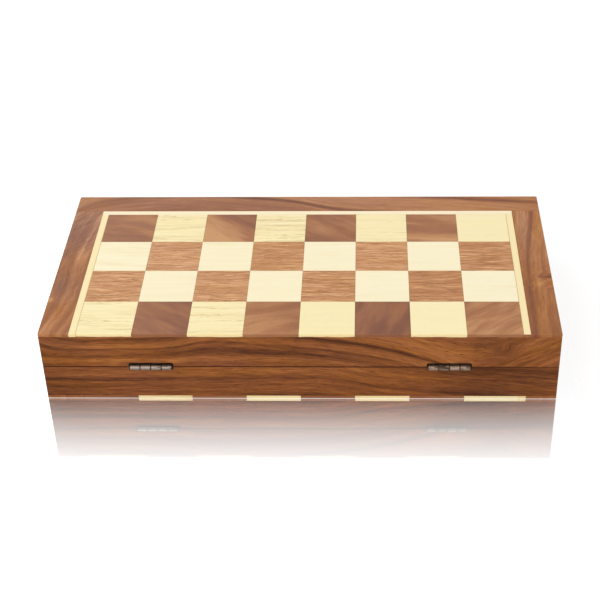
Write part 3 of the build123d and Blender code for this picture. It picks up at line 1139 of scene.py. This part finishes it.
def painted_joint_shade(tree, start):
    """From 0 on a hinge's steel to 1 where painted shade darkens the gaps between its knuckles."""
    axes = axes_in_mm(tree)
    along = add_node(tree, "ShaderNodeMath", {0: axes["X"], 1: start}, operation="SUBTRACT")
    half = HINGE_LENGTH / KNUCKLES / 2
    off = add_node(tree, "ShaderNodeMath", {0: along, 1: half}, operation="PINGPONG")
    ragged = centred_noise(tree, place_in_mm(tree), JOINT_SHADE_SIZE)
    off = add_node(
        tree, "ShaderNodeMath", {0: ragged, 1: JOINT_SHADE_RAGGED, 2: off}, operation="MULTIPLY_ADD"
    )
    painted_shade = add_node(
        tree, "ShaderNodeMapRange",
        {"Value": off, "From Min": JOINT_SHADE_EDGE[0], "From Max": JOINT_SHADE_EDGE[1]},
        interpolation_type="SMOOTHSTEP",
    )
    inner = HINGE_AXIS[1] + BARREL_RADIUS
    barrel = add_node(
        tree, "ShaderNodeMapRange",
        {"Value": axes["Y"], "From Min": inner + KNUCKLE_REACH - BARREL_RADIUS, "From Max": inner},
    )
    return add_node(tree, "ShaderNodeMath", {0: painted_shade, 1: barrel}, operation="MULTIPLY")


def plain_metal(name, colour, roughness, worn=None, worn_share=0.5, spread=None, joints=None):
    """Bare or plated metal with fine drawn lines, and dull patches where worn is given.

    spread says how the patches grow or shrink along the hinge, as (place in mm, value) points, and
    joints where the first knuckle of a hinge starts; from there the gaps between the knuckles get
    painted shade in the colour of the dull patches."""
    material, output = new_material(name)
    tree = material.node_tree
    place = place_in_mm(tree)
    drawn = centred_noise(tree, place, DRAWN_LINES, detail=3.0)
    dull = centred_noise(tree, place, DULL_PATCHES, detail=4.0)
    if spread is not None:
        more = curve_along(tree, axes_in_mm(tree)["X"], spread, TONE_SPAN)
        dull = add_node(tree, "ShaderNodeMath", {0: dull, 1: more}, operation="ADD")
    edge = 0.5 - worn_share
    patch = add_node(
        tree, "ShaderNodeMapRange", {"Value": dull, "From Min": edge, "From Max": edge + PATCH_EDGE},
        interpolation_type="SMOOTHSTEP",
    )
    # Painted shade in the gaps between the knuckles, in the colour of the dull patches
    if joints is not None:
        patch = add_node(
            tree, "ShaderNodeMath", {0: patch, 1: painted_joint_shade(tree, joints)}, operation="MAXIMUM"
        )
    tint = add_node(
        tree, "ShaderNodeMix",
        {"Factor_Float": patch, "A_Color": colour, "B_Color": worn or colour}, data_type="RGBA",
    )
    rough = add_up(tree, roughness, ((drawn, 0.2), (patch, 0.15)))
    bump = add_node(tree, "ShaderNodeBump", {"Height": drawn, "Strength": 0.5, "Distance": 0.02 * MM})
    shader = add_node(
        tree, "ShaderNodeBsdfPrincipled",
        {"Base Color": tint, "Metallic": 1.0, "Roughness": rough, "Normal": bump},
    )
    tree.links.new(shader.outputs[0], output.inputs[0])
    return material


def smooth_round_parts(mesh):
    """Smooth shading on round stretches, with the real corners left sharp."""
    mesh.polygons.foreach_set("use_smooth", [True] * len(mesh.polygons))
    mesh.set_sharp_from_angle(angle=math.radians(32))


def mesh_from(bm, name):
    """Turns a bmesh in millimetres into a mesh in metres, with its faces turned outwards."""
    bmesh.ops.recalc_face_normals(bm, faces=bm.faces)
    if bm.calc_volume(signed=True) < 0:
        bmesh.ops.reverse_faces(bm, faces=bm.faces)
    bmesh.ops.scale(bm, vec=(MM, MM, MM), verts=bm.verts)
    mesh = bpy.data.meshes.new(name)
    bm.to_mesh(mesh)
    bm.free()
    smooth_round_parts(mesh)
    return mesh


def soften_edges(bm, width, segments=2, least_angle=30):
    """Rounds the corners of a closed shape."""
    bmesh.ops.recalc_face_normals(bm, faces=bm.faces)
    corners = [
        edge for edge in bm.edges
        if edge.is_manifold and edge.calc_face_angle(0.0) > math.radians(least_angle)
    ]
    bmesh.ops.bevel(
        bm, geom=corners, offset=width, segments=segments, profile=0.5, affect="EDGES", clamp_overlap=True
    )


def loop_at(bm, points, z):
    """A closed ring of vertices at one height, and its edges."""
    verts = [bm.verts.new((x, y, z)) for x, y in points]
    return verts, [bm.edges.new((a, b)) for a, b in zip(verts, verts[1:] + verts[:1])]


def skin(bm, line_a, line_b, closed=True, skip=()):
    """Faces between two lines of as many vertices, but for the stretches to skip."""
    count = len(line_a)
    for index in range(count if closed else count - 1):
        following = (index + 1) % count
        if index not in skip:
            bm.faces.new((line_a[index], line_a[following], line_b[following], line_b[index]))


def circle(radius, x=0.0, y=0.0, count=32):
    """Points of a circle in the plane."""
    turns = [2 * math.pi * index / count for index in range(count)]
    return [(x + radius * math.cos(turn), y + radius * math.sin(turn)) for turn in turns]


def lathe(bm, profile, axis="Z", count=40):
    """Turns a profile of (radius, height) points round an axis; a radius of zero closes the end."""
    def at(radius, height, turn):
        flat = (radius * math.cos(turn), radius * math.sin(turn), height)
        return flat if axis == "Z" else (flat[2], flat[0], flat[1])

    turns = [2 * math.pi * index / count for index in range(count)]
    rings = []
    for radius, height in profile:
        places = [at(0.0, height, 0.0)] if radius == 0 else [at(radius, height, turn) for turn in turns]
        rings.append([bm.verts.new(place) for place in places])
    for low, high in zip(rings, rings[1:]):
        for index in range(count):
            following = (index + 1) % count
            ring = [low[index % len(low)], low[following % len(low)], high[following % len(high)],
                    high[index % len(high)]]
            bm.faces.new(list(dict.fromkeys(ring)))


def row_tree():
    """Geometry Nodes that repeat a mesh in a row and give it a material."""
    tree = bpy.data.node_groups.new("repeat_in_a_row", "GeometryNodeTree")
    face = tree.interface
    for name, kind in (
        ("Geometry", "Geometry"), ("Count", "Int"), ("First", "Vector"), ("Step", "Vector"),
        ("Material", "Material"),
    ):
        face.new_socket(name, in_out="INPUT", socket_type=f"NodeSocket{kind}")
    face.new_socket("Geometry", in_out="OUTPUT", socket_type="NodeSocketGeometry")
    given = add_node(tree, "NodeGroupInput").outputs
    places = add_node(
        tree, "GeometryNodeMeshLine",
        {"Count": given["Count"], "Start Location": given["First"], "Offset": given["Step"]}, mode="OFFSET",
    )
    copies = add_node(
        tree, "GeometryNodeInstanceOnPoints", {"Points": places, "Instance": given["Geometry"]}
    )
    solid = add_node(tree, "GeometryNodeRealizeInstances", {"Geometry": copies})
    add_node(
        tree, "NodeGroupOutput",
        {0: add_node(tree, "GeometryNodeSetMaterial", {"Geometry": solid, "Material": given["Material"]})},
    )
    return tree


def repeat_in_a_row(mesh, count, first, step, material):
    """A plain mesh of count copies of a mesh, the first at one place and each next one step on."""
    tree = bpy.data.node_groups.get("repeat_in_a_row") or row_tree()
    thing = bpy.data.objects.new("row", mesh)
    bpy.context.scene.collection.objects.link(thing)
    modifier = thing.modifiers.new("row", "NODES")
    modifier.node_group = tree
    sockets = {item.name: item.identifier for item in tree.interface.items_tree if item.in_out == "INPUT"}
    modifier[sockets["Count"]] = count
    modifier[sockets["First"]] = [value * MM for value in first]
    modifier[sockets["Step"]] = [value * MM for value in step]
    modifier[sockets["Material"]] = material
    seen = thing.evaluated_get(bpy.context.evaluated_depsgraph_get())
    result = bpy.data.meshes.new_from_object(seen)
    bpy.data.objects.remove(thing)
    return result


def place_piece(name, mesh, material, body, node, placing=None):
    """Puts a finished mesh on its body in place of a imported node."""
    if placing is not None:
        mesh.transform(placing)
    mesh.materials.clear()
    mesh.materials.append(material)
    piece = bpy.data.objects.new(name, mesh)
    bpy.context.scene.collection.objects.link(piece)
    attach(piece, body)
    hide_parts(node)
    return piece


def hinge_placing(side, tray):
    """From a hinge's own frame to the board's. The upper leaf is the lower one turned over."""
    low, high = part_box(f"{side}_hinge_lower_leaf")
    place = Vector(((low.x + high.x) / 2, HINGE_AXIS[1] * MM, HINGE_AXIS[2] * MM))
    turn = Matrix.Rotation(math.pi if tray == "upper" else 0.0, 4, "Y")
    return Matrix.Translation(place) @ turn


def knuckle_section(fittings):
    """The sheet's outer and inner line where it is rolled round the pin, from the plate outwards."""
    inner = BARREL_RADIUS - fittings.sheet
    start, end = -math.pi / 2, fittings.curl_end - 2 * math.pi
    turns = [start + (end - start) * index / CURL_STEPS for index in range(CURL_STEPS + 1)]
    outer_line = [(KNUCKLE_REACH, -BARREL_RADIUS)]
    inner_line = [(KNUCKLE_REACH, -inner)]
    for turn in turns:
        outer_line.append((BARREL_RADIUS * math.cos(turn), BARREL_RADIUS * math.sin(turn)))
        inner_line.append((inner * math.cos(turn), inner * math.sin(turn)))
    return outer_line, inner_line


def rolled_knuckle(fittings):
    """One knuckle, open at the end where it joins the plate, from x = 0 on."""
    bm = bmesh.new()
    outer_line, inner_line = knuckle_section(fittings)
    rows = []
    for x in (0.0, HINGE_LENGTH / KNUCKLES - KNUCKLE_GAP):
        outer = [bm.verts.new((x, y, z)) for y, z in outer_line]
        inner = [bm.verts.new((x, y, z)) for y, z in inner_line]
        rows.append((outer, inner))
        skin(bm, outer, inner, closed=False)
    (outer_0, inner_0), (outer_1, inner_1) = rows
    skin(bm, outer_0, outer_1, closed=False)
    skin(bm, inner_0, inner_1, closed=False)
    bm.faces.new((outer_0[-1], outer_1[-1], inner_1[-1], inner_0[-1]))
    bmesh.ops.scale(bm, vec=(MM, MM, MM), verts=bm.verts)
    mesh = bpy.data.meshes.new("rolled_knuckle")
    bm.to_mesh(mesh)
    bm.free()
    return mesh


def plate_outline(starts):
    """The plate seen from above, with rounded back corners and a step at each end of its knuckles."""
    half = HINGE_LENGTH / 2
    width = HINGE_LENGTH / KNUCKLES - KNUCKLE_GAP
    points = []
    for start in starts:
        points += [(start, KNUCKLE_REACH), (start + width, KNUCKLE_REACH)]
    points = [(-half, KNUCKLE_REACH)] + points + [(half, KNUCKLE_REACH)]
    for side in (1, -1):
        for index in range(CORNER_STEPS + 1):
            turn = math.pi / 2 * index / CORNER_STEPS
            if side < 0:
                turn += math.pi / 2
            points.append((
                side * (half - LEAF_CORNER) + LEAF_CORNER * math.cos(turn),
                LEAF_WIDTH - LEAF_CORNER + LEAF_CORNER * math.sin(turn),
            ))
    return points


def hinge_leaf(fittings):
    """One leaf in the hinge's own frame: a punched plate, with two knuckles rolled from the same sheet."""
    pitch = HINGE_LENGTH / KNUCKLES
    starts = [index * pitch - HINGE_LENGTH / 2 + KNUCKLE_GAP / 2 for index in range(0, KNUCKLES, 2)]
    knuckle = rolled_knuckle(fittings)
    knuckles = repeat_in_a_row(knuckle, len(starts), (starts[0], 0, 0), (2 * pitch, 0, 0), None)
    bm = bmesh.new()
    bm.from_mesh(knuckles)
    bmesh.ops.scale(bm, vec=(1 / MM, 1 / MM, 1 / MM), verts=bm.verts)
    outline = plate_outline(starts)
    bottom, top = -BARREL_RADIUS, fittings.sheet - BARREL_RADIUS
    low, low_edges = loop_at(bm, outline, bottom)
    high, high_edges = loop_at(bm, outline, top)
    # The plate's front is open where a knuckle joins it
    skin(bm, low, high, skip={1 + 2 * index for index in range(len(starts))})
    hole = ((SCREW_SHANK, bottom), (SCREW_SHANK, top - SCREW_HEAD + SCREW_SHANK), (SCREW_HEAD, top))
    for side in (-1, 1):
        place = {"x": side * SCREW_SPACING / 2, "y": SCREW_OFFSET}
        rings = [loop_at(bm, circle(radius + SCREW_PLAY, **place), z) for radius, z in hole]
        low_edges += rings[0][1]
        high_edges += rings[2][1]
        for (ring_a, _), (ring_b, _) in zip(rings, rings[1:]):
            skin(bm, ring_a, ring_b)
    bmesh.ops.triangle_fill(bm, edges=low_edges, use_dissolve=False)
    bmesh.ops.triangle_fill(bm, edges=high_edges, use_dissolve=False)
    bmesh.ops.remove_doubles(bm, verts=bm.verts, dist=0.002)
    soften_edges(bm, LEAF_SOFTNESS)
    return mesh_from(bm, "hinge_leaf")


def cross_outline(bm, long_half, short_half, z):
    """The outline of a cross recess at one height, and its edges."""
    quarter = [(long_half, -short_half), (long_half, short_half), (short_half, short_half)]
    points = []
    for _ in range(4):
        points += quarter
        quarter = [(-y, x) for x, y in quarter]
    return loop_at(bm, points, z)


def wood_screw():
    """A countersunk wood screw with a cross recess and a rolled thread, its head flush with the plate."""
    bm = bmesh.new()
    neck = -(SCREW_HEAD - SCREW_SHANK)
    bottom = -SCREW_LENGTH
    rows = [(SCREW_HEAD - HEAD_RIM, 0.0, 0.0), (SCREW_HEAD, -HEAD_RIM, 0.0), (SCREW_SHANK, neck, 0.0)]
    for index in range(1, THREAD_STEPS + 1):
        height = neck + (bottom + POINT_LENGTH - neck) * index / THREAD_STEPS
        taper = min(1.0, (height - bottom) / TIP_LENGTH)
        radius = SCREW_SHANK * (POINT_SHARE + (1 - POINT_SHARE) * taper)
        rows.append((radius, height, THREAD_DEPTH * min(1.0, index / THREAD_GROWTH) * taper))
    rings = []
    for radius, height, depth in rows:
        ring = []
        for index in range(SCREW_SIDES):
            share = index / SCREW_SIDES
            phase = (height / THREAD_PITCH - share) % 1.0
            reach = radius - depth * min(1.0, 4 * abs(phase - 0.5))
            turn = 2 * math.pi * share
            ring.append(bm.verts.new((reach * math.cos(turn), reach * math.sin(turn), height)))
        rings.append(ring)
    for ring_a, ring_b in zip(rings, rings[1:]):
        skin(bm, ring_a, ring_b)
    tip = bm.verts.new((0.0, 0.0, bottom))
    for vert, following in zip(rings[-1], rings[-1][1:] + rings[-1][:1]):
        bm.faces.new((vert, following, tip))
    long_share, short_share = CROSS_FLOOR
    mouth, mouth_edges = cross_outline(bm, CROSS_LENGTH / 2, CROSS_WIDTH / 2, 0.0)
    floor, _ = cross_outline(
        bm, long_share * CROSS_LENGTH / 2, short_share * CROSS_WIDTH / 2, -CROSS_DEPTH
    )
    skin(bm, mouth, floor)
    bm.faces.new(floor)
    head_edges = [bm.edges.get(pair) for pair in zip(rings[0], rings[0][1:] + rings[0][:1])]
    bmesh.ops.triangle_fill(bm, edges=head_edges + mouth_edges, use_dissolve=False)
    return mesh_from(bm, "wood_screw")


def domed_pin():
    """The hinge pin, with a domed head at each end, along x."""
    half = PIN_LENGTH / 2
    head_start = half - PIN_HEAD_THICKNESS
    edge = 0.12
    dome = [
        (0.0, half), (0.45 * PIN_HEAD, half - 0.02), (0.75 * PIN_HEAD, half - 0.09),
        (PIN_HEAD - 0.05, half - 0.2), (PIN_HEAD, half - 0.2 - edge), (PIN_HEAD - 0.03, head_start),
        (PIN_RADIUS, head_start),
    ]
    profile = dome + [(radius, -height) for radius, height in reversed(dome)]
    bm = bmesh.new()
    lathe(bm, profile, axis="X", count=32)
    return mesh_from(bm, "domed_pin")


class CHESSBOARD_OT_hinges(bpy.types.Operator):
    """Roll the hinge leaves, and set in their pins and screws"""

    bl_idname = "chessboard.hinges"
    bl_label = "Make Hinges"

    def execute(self, context):
        fittings = context.scene.chess_fittings
        # Cold-rolled mild steel sheet, stamped and tumbled: dull grey, with brown tarnish in patches, and
        # painted shade between the knuckles
        sheets = {
            "left": ("tumbled_steel", fittings.steel, 0.42, 0.44),
            "right": ("tarnished_steel", fittings.worn_steel, 0.5, 0.55),
        }
        steel = {
            side: plain_metal(
                name, colour, roughness, fittings.tarnish_and_joint_shade, share, TARNISH[side],
                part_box(f"{side}_hinge_lower_leaf")[0].x / MM,
            )
            for side, (name, colour, roughness, share) in sheets.items()
        }
        # Zinc-plated screws, yellowish grey and a little shinier than the leaves
        zinc = plain_metal("zinc_plate", fittings.zinc, 0.34, fittings.tarnish_and_joint_shade, 0.3)
        for side in HINGE_SIDES:
            pin = f"{side}_hinge_pin"
            place_piece(
                f"{side}_hinge_domed_pin", domed_pin(), steel[side], "lower_half", pin,
                hinge_placing(side, "lower"),
            )
            for tray in TRAY_NAMES:
                placing = hinge_placing(side, tray)
                leaf = f"{side}_hinge_{tray}_leaf"
                place_piece(
                    f"{leaf}_rolled", hinge_leaf(fittings), steel[side], f"{tray}_half", leaf,
                    placing,
                )
                head_top = fittings.sheet - BARREL_RADIUS
                screws = repeat_in_a_row(
                    wood_screw(), 2, (-SCREW_SPACING / 2, SCREW_OFFSET, head_top), (SCREW_SPACING, 0, 0), zinc
                )
                node = f"{side}_hinge_{tray}_screws"
                place_piece(f"{node}_threaded", screws, zinc, f"{tray}_half", node, placing)
        return {"FINISHED"}


class CHESSBOARD_OT_magnets(bpy.types.Operator):
    """Set the disc magnets into the rims of the opening rails"""

    bl_idname = "chessboard.magnets"
    bl_label = "Make Magnets"

    def execute(self, context):
        # Nickel plate on sintered discs: bright and smooth, with rounded rims
        nickel = plain_metal("nickel_plate", context.scene.chess_fittings.nickel, 0.16)
        for tray in TRAY_NAMES:
            node = f"{tray}_magnets"
            low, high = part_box(node)
            radius = (high.y - low.y) / 2 / MM
            bottom, top = low.z / MM, high.z / MM
            turns = [math.pi / 2 * step / RIM_STEPS for step in range(RIM_STEPS + 1)]
            arc = [(MAGNET_RIM * math.sin(turn), MAGNET_RIM * math.cos(turn)) for turn in turns]
            flat = radius - MAGNET_RIM
            upper = [(flat + out, top - MAGNET_RIM + up) for out, up in arc]
            lower = [(flat + out, bottom + MAGNET_RIM - up) for out, up in reversed(arc)]
            bm = bmesh.new()
            lathe(bm, [(0.0, top)] + upper + lower + [(0.0, bottom)], count=64)
            first = (low.x / MM + radius, (low.y + high.y) / 2 / MM, 0)
            step = ((high.x - low.x) / MM - 2 * radius, 0, 0)
            discs = repeat_in_a_row(mesh_from(bm, "magnet_disc"), 2, first, step, nickel)
            place_piece(f"{tray}_magnet_discs", discs, nickel, f"{tray}_half", node)
        return {"FINISHED"}


# The fibres of the felt lie both ways and wander, with sizes in millimetres
FELT_FIBRES = ((2.0, 0.38, 1.0), (0.38, 2.0, 1.0))
FELT_WANDER = 4.0
# Its nap swells in waves: how many to the millimetre along and across, and where each starts
FELT_WAVES = ((0.031, 0.017, 0.4), (0.012, 0.043, 1.7), (0.071, 0.059, 2.9), (0.11, -0.083, 0.8))
FELT_SWELL = 0.045
# How far its mean face and its cut edge lie under the full thickness
FELT_MEAN = 0.14
FELT_CUT_EDGE = 0.45
FELT_COLUMNS = 140
FELT_ROWS = 64
# How far apart the two sheets were cut
FELT_SHIFT = 37


def wool_felt(fittings):
    """Pressed wool felt: matt, with matted fibres about 0.3 mm apart and a soft nap."""
    material, output = new_material("pressed_wool_felt")
    tree = material.node_tree
    place = place_in_mm(tree)
    wander = add_node(tree, "ShaderNodeTexNoise", {"Vector": place, "Scale": 0.5, "Detail": 2.0})
    bent = add_node(
        tree, "ShaderNodeVectorMath", {0: wander.outputs["Color"], "Scale": FELT_WANDER}, operation="SCALE"
    )
    bent = add_node(tree, "ShaderNodeVectorMath", {0: place, 1: bent}, operation="ADD")
    mats = [centred_noise(tree, bent, size, roughness=0.6) for size in FELT_FIBRES]
    hairs = add_node(tree, "ShaderNodeMath", {0: mats[0], 1: mats[1]}, operation="MAXIMUM")
    blotch = add_node(tree, "ShaderNodeTexNoise", {"Vector": place, "Scale": 0.045, "Detail": 3.0})
    tone = add_node(tree, "ShaderNodeMath", {0: hairs, 1: 1.3, 2: blotch}, operation="MULTIPLY_ADD")
    ramp = add_node(tree, "ShaderNodeValToRGB", {"Fac": tone})
    base = fittings.felt
    set_ramp(ramp, (
        (0.2, tuple(0.62 * part for part in base[:3]) + (1.0,)),
        (0.55, tuple(base)),
        (1.0, tuple(1.5 * part + 0.012 for part in base[:3]) + (1.0,)),
    ))
    bump = add_node(tree, "ShaderNodeBump", {"Height": hairs, "Strength": 0.8, "Distance": 0.35 * MM})
    shader = add_node(
        tree, "ShaderNodeBsdfPrincipled",
        {"Base Color": ramp, "Roughness": 0.95, "Specular IOR Level": 0.1, "Sheen Weight": 0.25,
         "Sheen Roughness": 0.5, "Normal": bump},
    )
    tree.links.new(shader.outputs[0], output.inputs[0])
    return material


def felt_height(x, y):
    """How far the felt's nap stands above or below its mean face, in mm."""
    return sum(
        FELT_SWELL / (1 + index * 0.5) * math.sin(2 * math.pi * (along * x + across * y) + start)
        for index, (along, across, start) in enumerate(FELT_WAVES)
    )


def felt_sheet(low, high, up, seed):
    """A cut sheet of felt with a soft nap side and rounded cut edges, lying between two corners."""
    left, front = low.x / MM, low.y / MM
    width, depth, thick = ((high[axis] - low[axis]) / MM for axis in range(3))
    base, way = (low.z / MM, 1) if up else (high.z / MM, -1)
    bm = bmesh.new()
    faces = []
    for nap in (False, True):
        grid = []
        for row in range(FELT_ROWS + 1):
            y = front + depth * row / FELT_ROWS
            line = []
            for column in range(FELT_COLUMNS + 1):
                x = left + width * column / FELT_COLUMNS
                z = 0.0
                if nap and (row in (0, FELT_ROWS) or column in (0, FELT_COLUMNS)):
                    z = thick - FELT_CUT_EDGE
                elif nap:
                    z = thick - FELT_MEAN + felt_height(x + FELT_SHIFT * seed, y)
                line.append(bm.verts.new((x, y, base + way * z)))
            grid.append(line)
        for line, following in zip(grid, grid[1:]):
            skin(bm, line, following, closed=False)
        faces.append(grid)
    under, over = faces
    for end in (0, -1):
        skin(bm, [line[end] for line in under], [line[end] for line in over], closed=False)
    for end in (0, -1):
        skin(bm, under[end], over[end], closed=False)
    return mesh_from(bm, "felt_sheet")


class CHESSBOARD_OT_linings(bpy.types.Operator):
    """Lay the felt into the trays"""

    bl_idname = "chessboard.linings"
    bl_label = "Lay Linings"

    def execute(self, context):
        felt = wool_felt(context.scene.chess_fittings)
        for seed, tray in enumerate(TRAY_NAMES):
            node = f"{tray}_lining"
            low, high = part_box(node)
            mesh = felt_sheet(low, high, tray == "lower", seed)
            piece = place_piece(f"{tray}_felt_sheet", mesh, felt, f"{tray}_half", node)
        return {"FINISHED"}


class CHESSBOARD_OT_stage(bpy.types.Operator):
    """Set the pale floor, the soft lamps and the camera"""

    bl_idname = "chessboard.stage"
    bl_label = "Set Studio"

    def execute(self, context):
        studio = context.scene.chess_studio
        make_floor(studio)
        make_world(studio)
        soft_lamp("overhead_lamp", place=(0.0, 0.15, 1.5), size=(1.6, 1.6), power=studio.overhead)
        soft_lamp("front_fill", place=(-0.35, -1.5, 0.75), size=(1.2, 0.9), power=studio.fill)
        # It lays a soft haze over the lacquer, strongest at the left
        soft_lamp("window_lamp", place=(-0.75, 0.976, 0.71), size=(0.95, 0.8), power=studio.window)
        make_camera(context.scene, studio)
        context.scene.view_settings.view_transform = "Standard"
        return {"FINISHED"}


# In metres: half the floor's side, and how far from the board its light begins to fail and is gone
FLOOR_HALF = 4.0
LAMP_REACH = (0.3, 1.6)


def make_floor(studio):
    """A white acrylic sheet: matt white, with a mirror image that fades away from the board, and a painted
    bright line at the board's foot.
    """
    mesh = bpy.data.meshes.new("studio_floor")
    corners = ((-1, -1), (1, -1), (1, 1), (-1, 1))
    mesh.from_pydata([(FLOOR_HALF * x, FLOOR_HALF * y, 0.0) for x, y in corners], [], [(0, 1, 2, 3)])
    floor = bpy.data.objects.new("studio_floor", mesh)
    bpy.context.scene.collection.objects.link(floor)
    material, output = new_material("white_acrylic")
    tree = material.node_tree
    coordinates = add_node(tree, "ShaderNodeTexCoord")
    axes = add_node(tree, "ShaderNodeSeparateXYZ", {"Vector": coordinates.outputs["Object"]})
    beyond = []
    for axis, half in (("X", HALF_LENGTH), ("Y", OPENING_FACE)):
        out = add_node(tree, "ShaderNodeMath", {0: axes.outputs[axis]}, operation="ABSOLUTE")
        out = add_node(tree, "ShaderNodeMath", {0: out, 1: half * MM}, operation="SUBTRACT")
        beyond.append(add_node(tree, "ShaderNodeMath", {0: out, 1: 0.0}, operation="MAXIMUM"))
    spot = add_node(tree, "ShaderNodeCombineXYZ", {"X": beyond[0], "Y": beyond[1]})
    away = add_node(tree, "ShaderNodeVectorMath", {0: spot}, operation="LENGTH").outputs["Value"]
    fade = add_node(
        tree, "ShaderNodeMapRange",
        {"Value": away, "From Max": studio.mirror_reach, "To Min": studio.mirror, "To Max": 0.0},
    )
    # Painted highlight: in a thin strip at the board's foot the mirror image is left out, so the lifted white
    # floor draws a bright line between the board and its mirror image
    clear = add_node(tree, "ShaderNodeMath", {0: away, 1: studio.painted_foot_line}, operation="GREATER_THAN")
    fade = add_node(tree, "ShaderNodeMath", {0: fade, 1: clear}, operation="MULTIPLY")
    paths = add_node(tree, "ShaderNodeLightPath")
    seen = add_node(
        tree, "ShaderNodeMath", {0: fade, 1: paths.outputs["Is Camera Ray"]}, operation="MULTIPLY"
    )
    white = add_node(tree, "ShaderNodeBsdfDiffuse", {"Color": linear("#F4F4F4")})
    # Seen straight on, the sheet is lifted to white and keeps the board's shadow; far from the lamps
    # it is lifted more
    lift = add_node(
        tree, "ShaderNodeMath",
        {0: paths.outputs["Is Camera Ray"], 1: paths.outputs["Is Glossy Ray"]}, operation="MAXIMUM",
    )
    strength = add_node(
        tree, "ShaderNodeMapRange",
        {"Value": away, "From Min": LAMP_REACH[0], "From Max": LAMP_REACH[1], "To Min": studio.floor_lift,
         "To Max": 1.0},
    )
    lift = add_node(tree, "ShaderNodeMath", {0: lift, 1: strength}, operation="MULTIPLY")
    glow = add_node(tree, "ShaderNodeEmission", {"Color": (1, 1, 1, 1), "Strength": lift})
    lit = add_node(tree, "ShaderNodeAddShader", {0: white, 1: glow})
    mirror = add_node(tree, "ShaderNodeBsdfGlossy", {"Color": (1, 1, 1, 1), "Roughness": 0.02})
    both = add_node(tree, "ShaderNodeMixShader", {0: seen, 1: lit, 2: mirror})
    tree.links.new(both.outputs[0], output.inputs[0])
    mesh.materials.append(material)


def make_world(studio):
    """A white room, seen as pure white."""
    world = bpy.data.worlds.new("white_room")
    bpy.context.scene.world = world
    world.use_nodes = True
    tree = world.node_tree
    tree.nodes.clear()
    output = add_node(tree, "ShaderNodeOutputWorld")
    paths = add_node(tree, "ShaderNodeLightPath")
    seen = add_node(
        tree, "ShaderNodeMath",
        {0: paths.outputs["Is Camera Ray"], 1: paths.outputs["Is Transmission Ray"]}, operation="MAXIMUM",
    )
    seen = add_node(tree, "ShaderNodeMath", {0: seen, 1: paths.outputs["Is Glossy Ray"]}, operation="MAXIMUM")
    strength = add_node(
        tree, "ShaderNodeMapRange", {"Value": seen, "To Min": studio.sky, "To Max": 1.0}
    )
    back = add_node(tree, "ShaderNodeBackground", {"Color": (1, 1, 1, 1), "Strength": strength})
    tree.links.new(back.outputs[0], output.inputs[0])


def soft_lamp(name, place, size, power):
    """A rectangular soft lamp that looks at the board."""
    lamp = bpy.data.lights.new(name, "AREA")
    lamp.shape = "RECTANGLE"
    lamp.size, lamp.size_y = size
    lamp.energy = power
    thing = bpy.data.objects.new(name, lamp)
    bpy.context.scene.collection.objects.link(thing)
    thing.location = place
    thing.rotation_mode = "QUATERNION"
    thing.rotation_quaternion = (-Vector(place)).to_track_quat("-Z", "Y")


def make_camera(scene, studio):
    """The camera, where the photographer's stood."""
    camera = bpy.data.cameras.new("camera")
    camera.lens = studio.lens
    camera.shift_x = studio.shift
    camera.clip_start = 0.01
    thing = bpy.data.objects.new("camera", camera)
    scene.collection.objects.link(thing)
    yaw = Matrix.Rotation(studio.camera_yaw, 3, "Z")
    tilt = Matrix.Rotation(math.pi / 2 - studio.camera_dip, 3, "X")
    roll = Matrix.Rotation(studio.camera_roll, 3, "Z")
    thing.matrix_world = Matrix.Translation(studio.camera_place) @ (yaw @ tilt @ roll).to_4x4()
    scene.camera = thing


class CHESSBOARD_PT_panel(bpy.types.Panel):
    """Steps and settings of the chess board"""

    bl_idname = "CHESSBOARD_PT_panel"
    bl_label = "Folding Chess Board"
    bl_space_type = "VIEW_3D"
    bl_region_type = "UI"
    bl_category = "Chess Board"

    def draw(self, context):
        layout = self.layout
        for operator in OPERATORS:
            layout.operator(operator.bl_idname)
        for group in (context.scene.chess_timber, context.scene.chess_fittings, context.scene.chess_studio):
            box = layout.box()
            for name in group.bl_rna.properties.keys():
                if name not in ("rna_type", "name"):
                    box.prop(group, name)


GROUPS = (ChessBoardTimber, ChessBoardFittings, ChessBoardStudio)
OPERATORS = (
    CHESSBOARD_OT_squares,
    CHESSBOARD_OT_rails,
    CHESSBOARD_OT_hinges,
    CHESSBOARD_OT_magnets,
    CHESSBOARD_OT_linings,
    CHESSBOARD_OT_stage,
)


def register():
    for item in GROUPS + OPERATORS + (CHESSBOARD_PT_panel,):
        bpy.utils.register_class(item)
    bpy.types.Scene.chess_timber = bpy.props.PointerProperty(type=ChessBoardTimber)
    bpy.types.Scene.chess_fittings = bpy.props.PointerProperty(type=ChessBoardFittings)
    bpy.types.Scene.chess_studio = bpy.props.PointerProperty(type=ChessBoardStudio)


def unregister():
    del bpy.types.Scene.chess_studio
    del bpy.types.Scene.chess_fittings
    del bpy.types.Scene.chess_timber
    for item in reversed(GROUPS + OPERATORS + (CHESSBOARD_PT_panel,)):
        bpy.utils.unregister_class(item)


def main():
    register()
    bpy.ops.chessboard.squares()
    bpy.ops.chessboard.rails()
    bpy.ops.chessboard.hinges()
    bpy.ops.chessboard.magnets()
    bpy.ops.chessboard.linings()
    bpy.ops.chessboard.stage()


if __name__ == "__main__":
    main()
